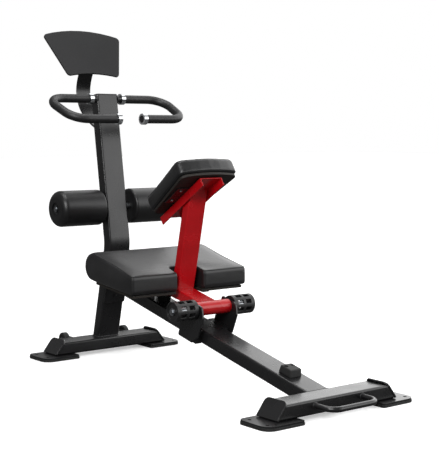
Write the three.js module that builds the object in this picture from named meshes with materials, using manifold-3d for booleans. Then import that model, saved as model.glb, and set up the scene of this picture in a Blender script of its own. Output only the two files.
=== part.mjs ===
// Kneeling stretch trainer: a bent column on a sloping main beam, a lower knee pad with two leg
// rollers, and a small saddle on an arm that rocks about a cross shaft between two towers.
// Millimetres, +Z up. +Y points to the column, -Y to the lift handle, X = 0 is the middle plane.
import * as THREE from 'three';
import { mergeVertices } from 'three/addons/utils/BufferGeometryUtils.js';
import Module from 'manifold-3d';

const wasm = await Module();
wasm.setup();

// ---------------------------------------------------------------- driving dimensions

const GAP = 0.3; // between pieces that touch
const RUNNING = 0.4; // radial clearance of what turns

// frame tubes
const TUBE_WIDTH = 100;
const TUBE_DEPTH = 50;
const TUBE_WALL = 3;
const TUBE_CORNER = 8;

// feet
const FEET_APART = 1350; // between the middles of the two foot tubes
const FOOT_HALF_LENGTH = 264; // at the underside, before the end plates
const FOOT_END_SLANT = THREE.MathUtils.degToRad(38);
const END_PLATE = 7;
const END_PLATE_LIP = 6; // the end plate stands above the tube's top
const END_PLATE_PROUD = 2;
const END_PLATE_CORNER = 18;
const END_PLATE_FOOT = 3; // its lower corners
const RUBBER = 9;
const STEEL_PLATE = 6;
const PLATE_UNDER_TUBE = 88; // how far a foot plate reaches in under the tube
const PLATE_BEYOND_TUBE = 70;
const PLATE_LENGTH = 146; // along Y
const PLATE_FORWARD = 9; // the plates reach further to the front than to the rear
const PLATE_CORNERS = [10, 38, 22]; // inner, outer front and outer rear
const PLATE_HOLE = 6.5;
const PLATE_HOLE_INSET = [24, 30];
const RUBBER_BEYOND = 1; // round the steel plate
const RUBBER_HOLE_PLAY = 2;

// column
const COLUMN_LOWER_LEAN = THREE.MathUtils.degToRad(13.5);
const COLUMN_UPPER_LEAN = THREE.MathUtils.degToRad(8.5);
const COLUMN_BEND_HEIGHT = 455;
const COLUMN_BEND_RADIUS = 170;
const COLUMN_HEIGHT = 1064;
const CAP_THICKNESS = 5;
const CAP_PLUG = 12;
const CAP_PLAY = 0.5; // between the cap's plug and the tube's walls

// main beam
const BEAM_SLOPE = THREE.MathUtils.degToRad(12.8);
const BEAM_FRONT_TOP = 62.5; // height of the beam's top where it meets the front foot
const FLANGE = 6;
const FLANGE_BELOW = 79; // below the beam, measured along the column
const FLANGE_ABOVE = 2;
const FLANGE_CORNER = 6;

// knee pad
const PAD_HALF_WIDTH = 270;
const PAD_FROM_PIVOT = 124; // from the pivot back to the pad's front face
const PAD_ABOVE_BEAM = 96; // the pad's lower front edge over the beam's top
const PAD_THICKNESS = 74;
const PAD_LENGTH = 279; // from the front face to the middle of the roll
const PAD_ROLL_RADIUS = 55;
const PAD_ROLL_RISE = 86; // the roll's middle above the lower front edge
const PAD_EDGE = 9;
const PAD_CORNER = 14;
const NOTCH_SIDE = 20; // beside the arm's post
const NOTCH_CLEARANCE = 12; // behind the arm's post
const NOTCH_CORNER = 14;
const PAD_BOARD = 10;
const PAD_BOARD_INSET = 14;
const RISER_LENGTH = 84; // along Y
const RISER_AHEAD_OF_ROLL = 6; // from the roll's middle to the riser's rear edge
const RISER_WALL = 5;
const RISER_HALF_WIDTH = 42;
const RAIL_WIDTH = 30;
const RAIL_THICKNESS = 6;
const RAIL_X = 88;
const RAIL_INSET = 10; // inside the board's front and rear edges

// leg rollers
const ROLLER_Z = 610;
const ROLLER_BEHIND = 5; // the shaft behind the column's middle line
const ROLLER_RADIUS = 72;
const ROLLER_INNER = 70; // X of the roller's inner face
const ROLLER_LENGTH = 203;
const ROLLER_SHAFT = 15;
const ROLLER_INNER_ROUND = 10;
const ROLLER_OUTER_ROUND = 26;
const SLEEVE_WALL = 3;
const HUB_RADIUS = 27;
const HUB_RECESS = 9;
const HUB_FACE = 5;

// handlebars
const BAR_RADIUS = 15;
const BAR_WALL = 2.5;
const GRIP_OVER_BAR = 2.5; // the grip's outside over the bar's
const BAR_BELOW_TOP = 13; // the bar's root below the column's head
const BAR_AHEAD = 11; // the bar's root in front of the column's middle line
const BAR_DROP = THREE.MathUtils.degToRad(24.3); // the loop slopes down to the front
const BAR_REACH = 203; // from the back run to the front run
const BAR_BACK_CORNER = 284;
const BAR_FRONT_CORNER = 264;
const BAR_BEND = 72;
const BAR_FRONT_END = 52;
const COLLAR_FROM_COLUMN = 17;
const COLLAR_OVER_BAR = 11;
const COLLAR_LENGTH = 18;

// instruction board and its neck
const BOARD_LEAN = THREE.MathUtils.degToRad(29.3);
const BOARD_BEHIND = 73; // the board's lower edge behind the column's head
const BOARD_ABOVE = 83; // and above it
const BOARD_HEIGHT = 195;
const BOARD_BOTTOM_HALF = 123;
const BOARD_TOP_HALF = 188;
const BOARD_TOP_RISE = 29;
const BOARD_BOTTOM_RISE = 14;
const BOARD_THICKNESS = 8;
const BOARD_CORNER = 16;
const NECK_WIDTH = 68;
const NECK_THICKNESS = 8;
const NECK_ROOT = 138; // where the neck leaves the column, below its head
const NECK_BOW = [[85, -96], [141, -44], [163, 24], [146, 88]]; // Y and Z from the column's head
const NECK_ON_BOARD = [66, 128]; // heights up the board's back

// pivot, its towers and the foot pegs
const PIVOT_FROM_FRONT_FOOT = 575;
const PIVOT_ABOVE_BEAM = 75; // square to the beam
const SHAFT_RADIUS = 12;
const CROSS_TUBE_RADIUS = 26;
const CROSS_TUBE_WALL = 3;
const TUBE_TO_TOWER = 1.5;
const BUSH_LENGTH = 28;
const TOWER_OFFSET = 26; // from the beam's side to the tower plate
const TOWER_PLATE = 6;
const SPACER = [-30, 72]; // along the beam, from the pivot
const PEG_RADIUS = 37;
const PEG_LENGTH = 95;
const PEG_WALL = 5;
const PEG_CORE_WALL = 4;
const PEG_FROM_TOWER = 3;
const PEG_SLOTS = 8;
const PEG_SLOT_WIDTH = 16;
const PEG_RIB = 11;
const SHAFT_BEYOND_PEG = 4;

// rocking arm and its stops
const ARM_WIDTH = 80;
const ARM_DEPTH = 38;
const ARM_WALL = 3;
const ARM_CORNER = 5;
const FOOT_BAR_DROP = 4; // the foot bar's middle below the pivot
const FOOT_BAR_START = 5; // inside the cross tube, which it is coped to
const POST_FROM_PIVOT = 186; // along the beam's slope, to the post's middle
const BUFFER_RADIUS = 18;
const BUFFER_FROM_PIVOT = 122;
const BLOCK_FROM_FRONT_FOOT = 142;
const BLOCK_LENGTH = 66;
const BLOCK_WIDTH = 52;
const BLOCK_HEIGHT = 28;
const BLOCK_SHOULDER = 10;
const BLOCK_DRAFT = 6;
const BLOCK_EDGE = 3;
const BLOCK_BOLT = 7;
const BLOCK_BOLT_X = 13.5;
const BLOCK_BOLT_DEPTH = 12;

// saddle, laid out in the arm's frame
const SADDLE_ANGLE = THREE.MathUtils.degToRad(45.1); // between the seat and the beam
const SADDLE_AHEAD_OF_POST = 77.6; // the seat's upper edge before the post's middle
const SADDLE_ABOVE_PIVOT = 475.4;
const SADDLE_LENGTH = 292;
const SADDLE_REAR_HALF = 136;
const SADDLE_TAPER = 0.115; // loss of half width per unit of length
const SADDLE_BULGE = 16;
const SADDLE_CORNERS = [34, 26]; // upper and lower end
const SADDLE_FOAM = 60;
const SADDLE_EDGE = 12;
const SADDLE_BOARD = 10;
const SADDLE_BOARD_INSET = 8;
const SADDLE_PLATE = 4;
const SADDLE_PLATE_RUN = [86, 190]; // down the seat's slope
const SADDLE_PLATE_HALF = 100;
const CHANNEL_PLAY = 6; // from the post's side to the inverted channel that takes it
const CHANNEL_DEPTH = 32;
const CHANNEL_WALL = 4;
const CHANNEL_RUN = [8, 306];

// lift handle and wheels
const LIFT_BAR = 9.5;
const LIFT_HALF_WIDTH = 106;
const LIFT_REACH = 78;
const LIFT_HEIGHT = 47;
const LIFT_DROOP = 4;
const LIFT_BEND = 40;
const WHEEL_RADIUS = 30;
const WHEEL_WIDTH = 24;
const WHEEL_ROUND = 5;
const WHEEL_X = 147;
const WHEEL_BEHIND_FOOT = 40;
const WHEEL_Z = 50;
const WHEEL_PIN = 6;
const WHEEL_BRACKET = 5;
const WHEEL_SIDE_PLAY = 2;

// ---------------------------------------------------------------- places worked out from them

const PLATE_TOP = RUBBER + GAP + STEEL_PLATE;
const FOOT_BOTTOM = PLATE_TOP + GAP;
const FOOT_TOP = FOOT_BOTTOM + TUBE_DEPTH;
const REAR_FOOT_Y = FEET_APART / 2;
const FRONT_FOOT_Y = -FEET_APART / 2;
const FRONT_FOOT_REAR_FACE = FRONT_FOOT_Y + TUBE_WIDTH / 2;

// the column's middle line
const columnFoot = new THREE.Vector3(0, REAR_FOOT_Y, FOOT_TOP);
const columnBend = columnFoot.clone().add(new THREE.Vector3(
  0,
  -Math.tan(COLUMN_LOWER_LEAN) * (COLUMN_BEND_HEIGHT - FOOT_TOP),
  COLUMN_BEND_HEIGHT - FOOT_TOP,
));
const columnHead = columnBend.clone().add(new THREE.Vector3(
  0,
  Math.tan(COLUMN_UPPER_LEAN) * (COLUMN_HEIGHT - COLUMN_BEND_HEIGHT),
  COLUMN_HEIGHT - COLUMN_BEND_HEIGHT,
));

// its Y at a height above the bend
const columnMiddle = (z) => columnBend.y + Math.tan(COLUMN_UPPER_LEAN) * (z - COLUMN_BEND_HEIGHT);

// the beam's top line and the pivot over it
const beamTop = (y) => BEAM_FRONT_TOP + Math.tan(BEAM_SLOPE) * (y - FRONT_FOOT_REAR_FACE);
const PIVOT_Y = FRONT_FOOT_REAR_FACE + PIVOT_FROM_FRONT_FOOT;
const PIVOT_Z = beamTop(PIVOT_Y) + PIVOT_ABOVE_BEAM / Math.cos(BEAM_SLOPE);
const TOWER_INNER = TUBE_WIDTH / 2 + TOWER_OFFSET;

// the knee pad's side view
const PAD_FRONT = PIVOT_Y + PAD_FROM_PIVOT;
const PAD_FRONT_BOTTOM = beamTop(PAD_FRONT) + PAD_ABOVE_BEAM;
const PAD_ROLL = new THREE.Vector2(PAD_FRONT + PAD_LENGTH, PAD_FRONT_BOTTOM + PAD_ROLL_RISE);

const ROLLER_Y = columnMiddle(ROLLER_Z) + ROLLER_BEHIND;
const ROLLER_OUTER = ROLLER_INNER + ROLLER_LENGTH;
const GRIP_RADIUS = BAR_RADIUS + GRIP_OVER_BAR;
const COLLAR_RADIUS = BAR_RADIUS + COLLAR_OVER_BAR;

// ---------------------------------------------------------------- materials

const paint = (color, roughness = 0.45, metalness = 0.3) => (
  new THREE.MeshStandardMaterial({ color, roughness, metalness })
);
const BLACK_PAINT = paint(0x232325);
const RED_PAINT = paint(0x9c1016, 0.35);
const CHROME = paint(0xd8dadc, 0.12, 1);
const STEEL = paint(0x8f9295, 0.35, 0.9);
const VINYL = paint(0x2b2b2d, 0.5, 0);
const FOAM = paint(0x1d1d1f, 0.85, 0);
const RUBBER_BLACK = paint(0x151515, 0.9, 0);
const PLASTIC = paint(0x1b1b1d, 0.5, 0);
const PLYWOOD = paint(0x3a3026, 0.8, 0);
const BOARD_GREY = paint(0x343436, 0.6, 0);
const BRONZE = paint(0x9a7a45, 0.4, 0.9);

// ---------------------------------------------------------------- solids

// A geometry with shared vertices and no flat triangles, as manifold-3d wants it.
function closed(geometry) {
  const bare = new THREE.BufferGeometry();
  bare.setAttribute('position', geometry.getAttribute('position'));
  bare.setIndex(geometry.index);
  const merged = mergeVertices(bare, 1e-3);
  const corners = merged.index.array;
  const kept = [];
  for (let i = 0; i < corners.length; i += 3) {
    const [a, b, c] = [corners[i], corners[i + 1], corners[i + 2]];
    if (a !== b && b !== c && c !== a) kept.push(a, b, c);
  }
  merged.setIndex(kept);
  return merged;
}

function toSolid(geometry) {
  const merged = closed(geometry);
  return new wasm.Manifold(new wasm.Mesh({
    numProp: 3,
    vertProperties: merged.getAttribute('position').array,
    triVerts: new Uint32Array(merged.index.array),
  }));
}

function toGeometry(solid) {
  const mesh = solid.getMesh();
  const geometry = new THREE.BufferGeometry();
  geometry.setAttribute('position', new THREE.BufferAttribute(mesh.vertProperties, 3));
  geometry.setIndex(new THREE.BufferAttribute(mesh.triVerts, 1));
  geometry.computeVertexNormals();
  return geometry;
}

function cut(geometry, ...tools) {
  return toGeometry(tools.reduce((solid, tool) => solid.subtract(toSolid(tool)), toSolid(geometry)));
}

function join(geometry, ...others) {
  return toGeometry(others.reduce((solid, other) => solid.add(toSolid(other)), toSolid(geometry)));
}

// ---------------------------------------------------------------- outlines and sweeps

// Rounds the corners of a line of points. Each point may carry its own radius as .r.
function rounded(points, { radius = 0, loop = false, steps = 5 } = {}) {
  const last = points.length - 1;
  return points.flatMap((point, i) => {
    const r = point.r ?? radius;
    if (r === 0 || (!loop && (i === 0 || i === last))) return [point.clone()];
    const toBefore = points[(i + last) % (last + 1)].clone().sub(point);
    const toAfter = points[(i + 1) % (last + 1)].clone().sub(point);
    const room = Math.min(toBefore.length(), toAfter.length()) * 0.5;
    toBefore.normalize();
    toAfter.normalize();
    const half = Math.acos(THREE.MathUtils.clamp(toBefore.dot(toAfter), -1, 1)) / 2;
    const reach = Math.min(r / Math.tan(half), room);
    const arc = reach * Math.tan(half);
    const inward = toBefore.clone().add(toAfter).normalize();
    const centre = point.clone().addScaledVector(inward, arc / Math.sin(half));
    const from = point.clone().addScaledVector(toBefore, reach).sub(centre);
    const to = point.clone().addScaledVector(toAfter, reach).sub(centre);
    const sweep = Math.PI - 2 * half;
    return Array.from({ length: steps + 1 }, (_, k) => {
      const share = k / steps;
      const a = Math.sin((1 - share) * sweep) / Math.sin(sweep);
      const b = Math.sin(share * sweep) / Math.sin(sweep);
      return centre.clone().addScaledVector(from, a).addScaledVector(to, b);
    });
  });
}

const at = (x, y, r) => Object.assign(new THREE.Vector2(x, y), { r });

function outline(points, options = {}) {
  return new THREE.Shape(rounded(points, { loop: true, ...options }));
}

function rectangle(width, height, radius = 0, steps = 3) {
  const [x, y] = [width / 2, height / 2];
  return outline([at(-x, -y), at(x, -y), at(x, y), at(-x, y)], { radius, steps });
}

// A rectangular tube's section: width along X, depth across it.
function tubeSection(width, depth, wall, corner) {
  const section = rectangle(width, depth, corner);
  const inside = rectangle(width - 2 * wall, depth - 2 * wall, Math.max(corner - wall, 1));
  section.holes.push(inside);
  return section;
}

function disc(radius, sides = 24) {
  const turn = (i) => (i * 2 * Math.PI) / sides;
  const points = Array.from({ length: sides }, (_, i) => (
    new THREE.Vector2(radius * Math.cos(turn(i)), radius * Math.sin(turn(i)))
  ));
  return new THREE.Shape(points);
}

// The bore's flats, not its corners, lie on its radius, so that a round shaft passes.
function ring(outer, inner, sides = 24) {
  const shape = disc(outer, sides);
  shape.holes.push(disc(inner / Math.cos(Math.PI / sides), sides));
  return shape;
}

// A path through given stations, with the section square to the mean of the runs beside each.
class StationPath extends THREE.Curve {
  constructor(stations) {
    super();
    this.stations = stations;
  }

  index(u) {
    return Math.round(u * (this.stations.length - 1));
  }

  getPointAt(u, target = new THREE.Vector3()) {
    return target.copy(this.stations[this.index(u)]);
  }

  getTangentAt(u, target = new THREE.Vector3()) {
    const i = this.index(u);
    const here = this.stations[i];
    const before = this.stations[i - 1] ?? here;
    const after = this.stations[i + 1] ?? here;
    const arriving = here.clone().sub(before).normalize();
    return target.copy(after).sub(here).normalize().add(arriving).normalize();
  }

  // On a path in the middle plane the section's width stays along X.
  computeFrenetFrames(segments, isClosed) {
    if (this.stations.some((p) => p.x !== 0)) return super.computeFrenetFrames(segments, isClosed);
    const tangents = this.stations.map((_, i) => this.getTangentAt(i / segments));
    const normals = tangents.map(() => new THREE.Vector3(1, 0, 0));
    const binormals = tangents.map((tangent, i) => tangent.clone().cross(normals[i]));
    return { tangents, normals, binormals };
  }
}

function sweep(section, stations) {
  const settings = { steps: stations.length - 1, extrudePath: new StationPath(stations) };
  return new THREE.ExtrudeGeometry(section, settings);
}

// Stands an extrusion of a (Y, Z) outline along X, from one X to another.
const SIDEWAYS = new THREE.Matrix4().makeBasis(
  new THREE.Vector3(0, 1, 0),
  new THREE.Vector3(0, 0, 1),
  new THREE.Vector3(1, 0, 0),
);

function acrossX(shape, from, to, bevel = 0) {
  const settings = {
    depth: to - from - 2 * bevel,
    bevelEnabled: bevel > 0,
    bevelSize: bevel,
    bevelOffset: -bevel,
    bevelThickness: bevel,
    bevelSegments: 3,
  };
  const geometry = new THREE.ExtrudeGeometry(shape, settings);
  geometry.translate(0, 0, from + bevel);
  return geometry.applyMatrix4(SIDEWAYS);
}

// Extrudes an (X, Y) outline upwards.
function upright(shape, from, to) {
  return new THREE.ExtrudeGeometry(shape, { depth: to - from, bevelEnabled: false })
    .translate(0, 0, from);
}

function box(xs, ys, zs) {
  const size = [xs, ys, zs].map(([low, high]) => high - low);
  const middle = [xs, ys, zs].map(([low, high]) => (low + high) / 2);
  return new THREE.BoxGeometry(...size).translate(...middle);
}

function rodX(radius, from, to, sides = 24) {
  return acrossX(disc(radius, sides), from, to);
}

// Turns a profile of (X, radius) points, closed on itself, about the X axis.
function turnedX(profile, sides = 32) {
  const loop = [...profile, profile[0]].map((p) => new THREE.Vector2(p.y, p.x));
  if (THREE.ShapeUtils.isClockWise(loop)) loop.reverse();
  return new THREE.LatheGeometry(loop, sides).rotateZ(-Math.PI / 2);
}

// ---------------------------------------------------------------- assembly

const machine = new THREE.Group();

function group(parent, y = 0, z = 0, tilt = 0) {
  const made = new THREE.Group();
  made.position.set(0, y, z);
  made.rotation.x = tilt;
  parent.add(made);
  return made;
}

function piece(parent, name, geometry, material) {
  const mesh = new THREE.Mesh(closed(geometry), material);
  mesh.geometry.computeVertexNormals();
  mesh.name = name;
  parent.add(mesh);
  return mesh;
}

// One piece on the right and its mirror image on the left.
function pair(parent, name, geometry, material) {
  piece(parent, `${name}_right`, geometry, material);
  piece(parent, `${name}_left`, geometry, material).scale.x = -1;
}

// ---------------------------------------------------------------- feet

function footTube() {
  const section = tubeSection(TUBE_WIDTH, TUBE_DEPTH, TUBE_WALL, TUBE_CORNER);
  const tube = acrossX(section, -FOOT_HALF_LENGTH, FOOT_HALF_LENGTH);
  const slab = () => (
    box([0, 2 * TUBE_WIDTH], [-TUBE_WIDTH, TUBE_WIDTH], [-TUBE_DEPTH, 4 * TUBE_DEPTH])
      .rotateY(-FOOT_END_SLANT)
      .translate(FOOT_HALF_LENGTH, 0, -TUBE_DEPTH / 2)
  );
  return cut(tube, slab(), slab().rotateZ(Math.PI));
}

// A slanted plate with two rounded top corners, lying on the foot tube's cut end.
function endPlate() {
  const half = TUBE_WIDTH / 2 + END_PLATE_PROUD;
  const height = (TUBE_DEPTH + END_PLATE_LIP) / Math.cos(FOOT_END_SLANT);
  const shape = outline([
    at(-half, 0, END_PLATE_FOOT), at(half, 0, END_PLATE_FOOT),
    at(half, height, END_PLATE_CORNER), at(-half, height, END_PLATE_CORNER),
  ]);
  const plate = acrossX(shape, GAP, GAP + END_PLATE);
  const floor = box([-TUBE_DEPTH, TUBE_DEPTH], [-TUBE_WIDTH, TUBE_WIDTH], [-TUBE_DEPTH, 0]);
  return cut(plate.rotateY(-FOOT_END_SLANT), floor).translate(FOOT_HALF_LENGTH, 0, 0);
}

// The plan of a foot plate on the +X side: its outer front corner is widely rounded.
function footPlan(grow, hole) {
  const inner = FOOT_HALF_LENGTH - PLATE_UNDER_TUBE - grow;
  const outer = FOOT_HALF_LENGTH + PLATE_BEYOND_TUBE + grow;
  const rear = PLATE_LENGTH / 2 + grow;
  const [atTube, outerFront, outerRear] = PLATE_CORNERS;
  const shape = outline([
    at(inner, -rear, atTube), at(outer, -rear, outerFront), at(outer, rear, outerRear),
    at(inner, rear, atTube),
  ]);
  const holeX = outer - grow - PLATE_HOLE_INSET[0];
  const holeY = rear - grow - PLATE_HOLE_INSET[1];
  [-holeY, holeY].forEach((y) => {
    const points = disc(hole, 12).getPoints().map((p) => new THREE.Vector2(p.x + holeX, p.y + y));
    shape.holes.push(new THREE.Path(points));
  });
  return shape;
}

function makeFeet() {
  [['rear', REAR_FOOT_Y], ['front', FRONT_FOOT_Y]].forEach(([end, y]) => {
    const foot = group(machine, y, FOOT_BOTTOM);
    const tube = piece(foot, `${end}_foot_tube`, footTube(), BLACK_PAINT);
    tube.position.z = TUBE_DEPTH / 2;
    pair(foot, `${end}_end_plate`, endPlate(), BLACK_PAINT);
    const pads = group(machine, y - PLATE_FORWARD, 0);
    const steel = upright(footPlan(0, PLATE_HOLE), RUBBER + GAP, PLATE_TOP);
    pair(pads, `${end}_foot_plate`, steel, BLACK_PAINT);
    const rubber = upright(footPlan(RUBBER_BEYOND, PLATE_HOLE + RUBBER_HOLE_PLAY), 0, RUBBER);
    pair(pads, `${end}_foot_rubber`, rubber, RUBBER_BLACK);
  });
}

// ---------------------------------------------------------------- column

function makeColumn() {
  const below = columnFoot.clone().add(columnFoot.clone().sub(columnBend).setLength(TUBE_DEPTH));
  const stations = rounded([below, columnBend, columnHead], { radius: COLUMN_BEND_RADIUS });
  const tube = sweep(tubeSection(TUBE_WIDTH, TUBE_DEPTH, TUBE_WALL, TUBE_CORNER), stations);
  const floor = box([-200, 200], [REAR_FOOT_Y - 200, REAR_FOOT_Y + 200], [-100, FOOT_TOP + GAP]);
  const shaftHole = rodX(ROLLER_SHAFT + GAP, -TUBE_WIDTH, TUBE_WIDTH);
  shaftHole.translate(0, ROLLER_Y, ROLLER_Z);
  piece(machine, 'column', cut(tube, floor, shaftHole), BLACK_PAINT);

  const cap = group(machine, columnHead.y, columnHead.z, -COLUMN_UPPER_LEAN);
  const lid = upright(rectangle(TUBE_WIDTH, TUBE_DEPTH, TUBE_CORNER), GAP, CAP_THICKNESS);
  const inside = -2 * (TUBE_WALL + CAP_PLAY);
  const plug = rectangle(TUBE_WIDTH + inside, TUBE_DEPTH + inside, TUBE_CORNER - TUBE_WALL);
  piece(cap, 'column_cap', join(lid, upright(plug, -CAP_PLUG, GAP + 1)), PLASTIC);
}

// ---------------------------------------------------------------- main beam

function makeBeam() {
  const half = TUBE_DEPTH / 2;
  const beam = group(machine, FRONT_FOOT_REAR_FACE, BEAM_FRONT_TOP, BEAM_SLOPE);
  const start = new THREE.Vector3(0, -100, -half);
  const end = new THREE.Vector3(0, FEET_APART, -half);
  const along = sweep(tubeSection(TUBE_WIDTH, TUBE_DEPTH, TUBE_WALL, TUBE_CORNER), [start, end]);
  const world = along.rotateX(BEAM_SLOPE).translate(0, FRONT_FOOT_REAR_FACE, BEAM_FRONT_TOP);
  const front = box([-200, 200], [FRONT_FOOT_Y - 300, FRONT_FOOT_REAR_FACE + GAP], [-200, 300]);
  const column = box([-200, 200], [-half - FLANGE - 2 * GAP, 1000], [-900, 900]);
  column.rotateX(COLUMN_LOWER_LEAN).translate(0, columnFoot.y, columnFoot.z);
  const trimmed = cut(world, front, column);
  trimmed.translate(0, -FRONT_FOOT_REAR_FACE, -BEAM_FRONT_TOP).rotateX(-BEAM_SLOPE);
  piece(beam, 'main_beam', trimmed, BLACK_PAINT);

  // the flange lies on the column's front face, round the beam's end
  const face = group(machine, columnFoot.y, columnFoot.z, COLUMN_LOWER_LEAN);
  const [sine, cosine] = [Math.sin(COLUMN_LOWER_LEAN), Math.cos(COLUMN_LOWER_LEAN)];
  const rise = beamTop(columnFoot.y - half * cosine) - columnFoot.z + half * sine;
  const meet = rise / (cosine + Math.tan(BEAM_SLOPE) * sine);
  const top = meet + FLANGE_ABOVE;
  const bottom = meet - TUBE_DEPTH - FLANGE_BELOW;
  const plate = rectangle(TUBE_WIDTH, top - bottom, FLANGE_CORNER);
  const flange = upright(plate, 0, FLANGE).rotateX(Math.PI / 2);
  flange.translate(0, -half - GAP, (top + bottom) / 2);
  piece(face, 'beam_flange', flange, BLACK_PAINT);
}

// ---------------------------------------------------------------- knee pad

// A flat top rising to the rear, and a round roll behind.
function padProfile() {
  const tangentAngle = (from, side) => {
    const away = PAD_ROLL.clone().sub(from);
    return away.angle() + side * Math.acos(PAD_ROLL_RADIUS / away.length());
  };
  const topCorner = at(PAD_FRONT, PAD_FRONT_BOTTOM + PAD_THICKNESS, PAD_CORNER);
  const bottomCorner = at(PAD_FRONT, PAD_FRONT_BOTTOM, PAD_CORNER);
  const start = tangentAngle(bottomCorner, 1) + Math.PI;
  const finish = tangentAngle(topCorner, -1) + Math.PI;
  const turn = THREE.MathUtils.euclideanModulo(finish - start, 2 * Math.PI);
  const steps = 12;
  const roll = Array.from({ length: steps + 1 }, (_, i) => {
    const angle = start + (turn * i) / steps;
    const x = PAD_ROLL.x + PAD_ROLL_RADIUS * Math.cos(angle);
    return at(x, PAD_ROLL.y + PAD_ROLL_RADIUS * Math.sin(angle), 0);
  });
  return outline([bottomCorner, ...roll, topCorner]);
}

// The pad's underside leaves the lower front edge and touches the roll.
const padToRoll = new THREE.Vector2(PAD_LENGTH, PAD_ROLL_RISE);
const UNDER_TILT = padToRoll.angle() - Math.asin(PAD_ROLL_RADIUS / padToRoll.length());

function notchTool() {
  const rear = POST_FROM_PIVOT + ARM_DEPTH / 2 + NOTCH_CLEARANCE;
  const half = ARM_WIDTH / 2 + NOTCH_SIDE;
  const plan = outline([
    at(-half, 0, 0), at(half, 0, 0), at(half, rear, NOTCH_CORNER), at(-half, rear, NOTCH_CORNER),
  ]);
  return upright(plan, -100, 400).rotateX(BEAM_SLOPE).translate(0, PIVOT_Y, PIVOT_Z);
}

function makeKneePad() {
  const cushion = acrossX(padProfile(), -PAD_HALF_WIDTH, PAD_HALF_WIDTH, PAD_EDGE);
  piece(machine, 'knee_pad', cut(cushion, notchTool()), VINYL);

  // board and rails lie in a frame along the pad's underside
  const under = group(machine, PAD_FRONT, PAD_FRONT_BOTTOM - GAP, UNDER_TILT);
  const length = PAD_LENGTH / Math.cos(UNDER_TILT);
  const board = box(
    [-PAD_HALF_WIDTH + PAD_BOARD_INSET, PAD_HALF_WIDTH - PAD_BOARD_INSET],
    [PAD_BOARD_INSET, length - PAD_BOARD_INSET],
    [-PAD_BOARD, 0],
  );
  const slot = notchTool().translate(0, -PAD_FRONT, -PAD_FRONT_BOTTOM).rotateX(-UNDER_TILT);
  piece(under, 'knee_pad_board', cut(board, slot), PLYWOOD);
  const railTop = -PAD_BOARD - GAP;
  const railEnd = PAD_BOARD_INSET + RAIL_INSET;
  const rail = box(
    [RAIL_X - RAIL_WIDTH / 2, RAIL_X + RAIL_WIDTH / 2],
    [railEnd, length - railEnd],
    [railTop - RAIL_THICKNESS, railTop],
  );
  pair(under, 'pad_rail', rail, BLACK_PAINT);
  makeRiser(railTop - RAIL_THICKNESS - GAP);
}

// A channel stands on the beam and carries a cross bar under the rails.
function makeRiser(barTop) {
  const rearY = PAD_ROLL.x - RISER_AHEAD_OF_ROLL;
  const frontY = rearY - RISER_LENGTH;
  const half = RISER_HALF_WIDTH;
  const [low, high] = [beamTop(frontY) - TUBE_DEPTH, PAD_ROLL.y];
  const block = box([-half, half], [frontY, rearY], [low, high]);
  const inside = box(
    [-half + RISER_WALL, half - RISER_WALL],
    [frontY - 1, rearY + 1],
    [low - 1, high + 1],
  );
  const toWorld = (geometry) => (
    geometry.rotateX(UNDER_TILT).translate(0, PAD_FRONT, PAD_FRONT_BOTTOM - GAP)
  );
  const barStart = (frontY - PAD_FRONT) / Math.cos(UNDER_TILT);
  const crossBar = box(
    [-RAIL_X - RAIL_WIDTH / 2, RAIL_X + RAIL_WIDTH / 2],
    [barStart, barStart + RISER_LENGTH],
    [barTop - RISER_WALL, barTop],
  );
  const above = toWorld(box([-500, 500], [-500, 900], [barTop - 1, 500]));
  const beam = box([-500, 500], [-900, 1800], [-500, GAP]);
  beam.rotateX(BEAM_SLOPE).translate(0, FRONT_FOOT_REAR_FACE, BEAM_FRONT_TOP);
  const riser = join(cut(block, inside, above), toWorld(crossBar));
  piece(machine, 'pad_riser', cut(riser, beam), BLACK_PAINT);
}

// ---------------------------------------------------------------- leg rollers

function makeRollers() {
  const shaft = group(machine, ROLLER_Y, ROLLER_Z);
  const bore = ROLLER_SHAFT + RUNNING;
  const core = bore + SLEEVE_WALL;
  const floor = ROLLER_OUTER - HUB_RECESS;
  const end = floor + HUB_FACE;
  piece(shaft, 'roller_shaft', rodX(ROLLER_SHAFT, -end, end, 20), STEEL);
  const soft = rounded([
    at(ROLLER_INNER, core + GAP, 0),
    at(ROLLER_INNER, ROLLER_RADIUS, ROLLER_INNER_ROUND),
    at(ROLLER_OUTER, ROLLER_RADIUS, ROLLER_OUTER_ROUND),
    at(ROLLER_OUTER, HUB_RADIUS + GAP, 0),
    at(floor, HUB_RADIUS + GAP, 0),
    at(floor, core + GAP, 0),
  ], { loop: true, steps: 3 });
  pair(shaft, 'roller_foam', turnedX(soft, 24), FOAM);
  const hub = [
    at(ROLLER_INNER, bore), at(end, bore), at(end, HUB_RADIUS), at(floor + GAP, HUB_RADIUS),
    at(floor + GAP, core), at(ROLLER_INNER, core),
  ];
  pair(shaft, 'roller_hub', turnedX(hub, 18), PLASTIC);
}

// ---------------------------------------------------------------- handlebars

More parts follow.
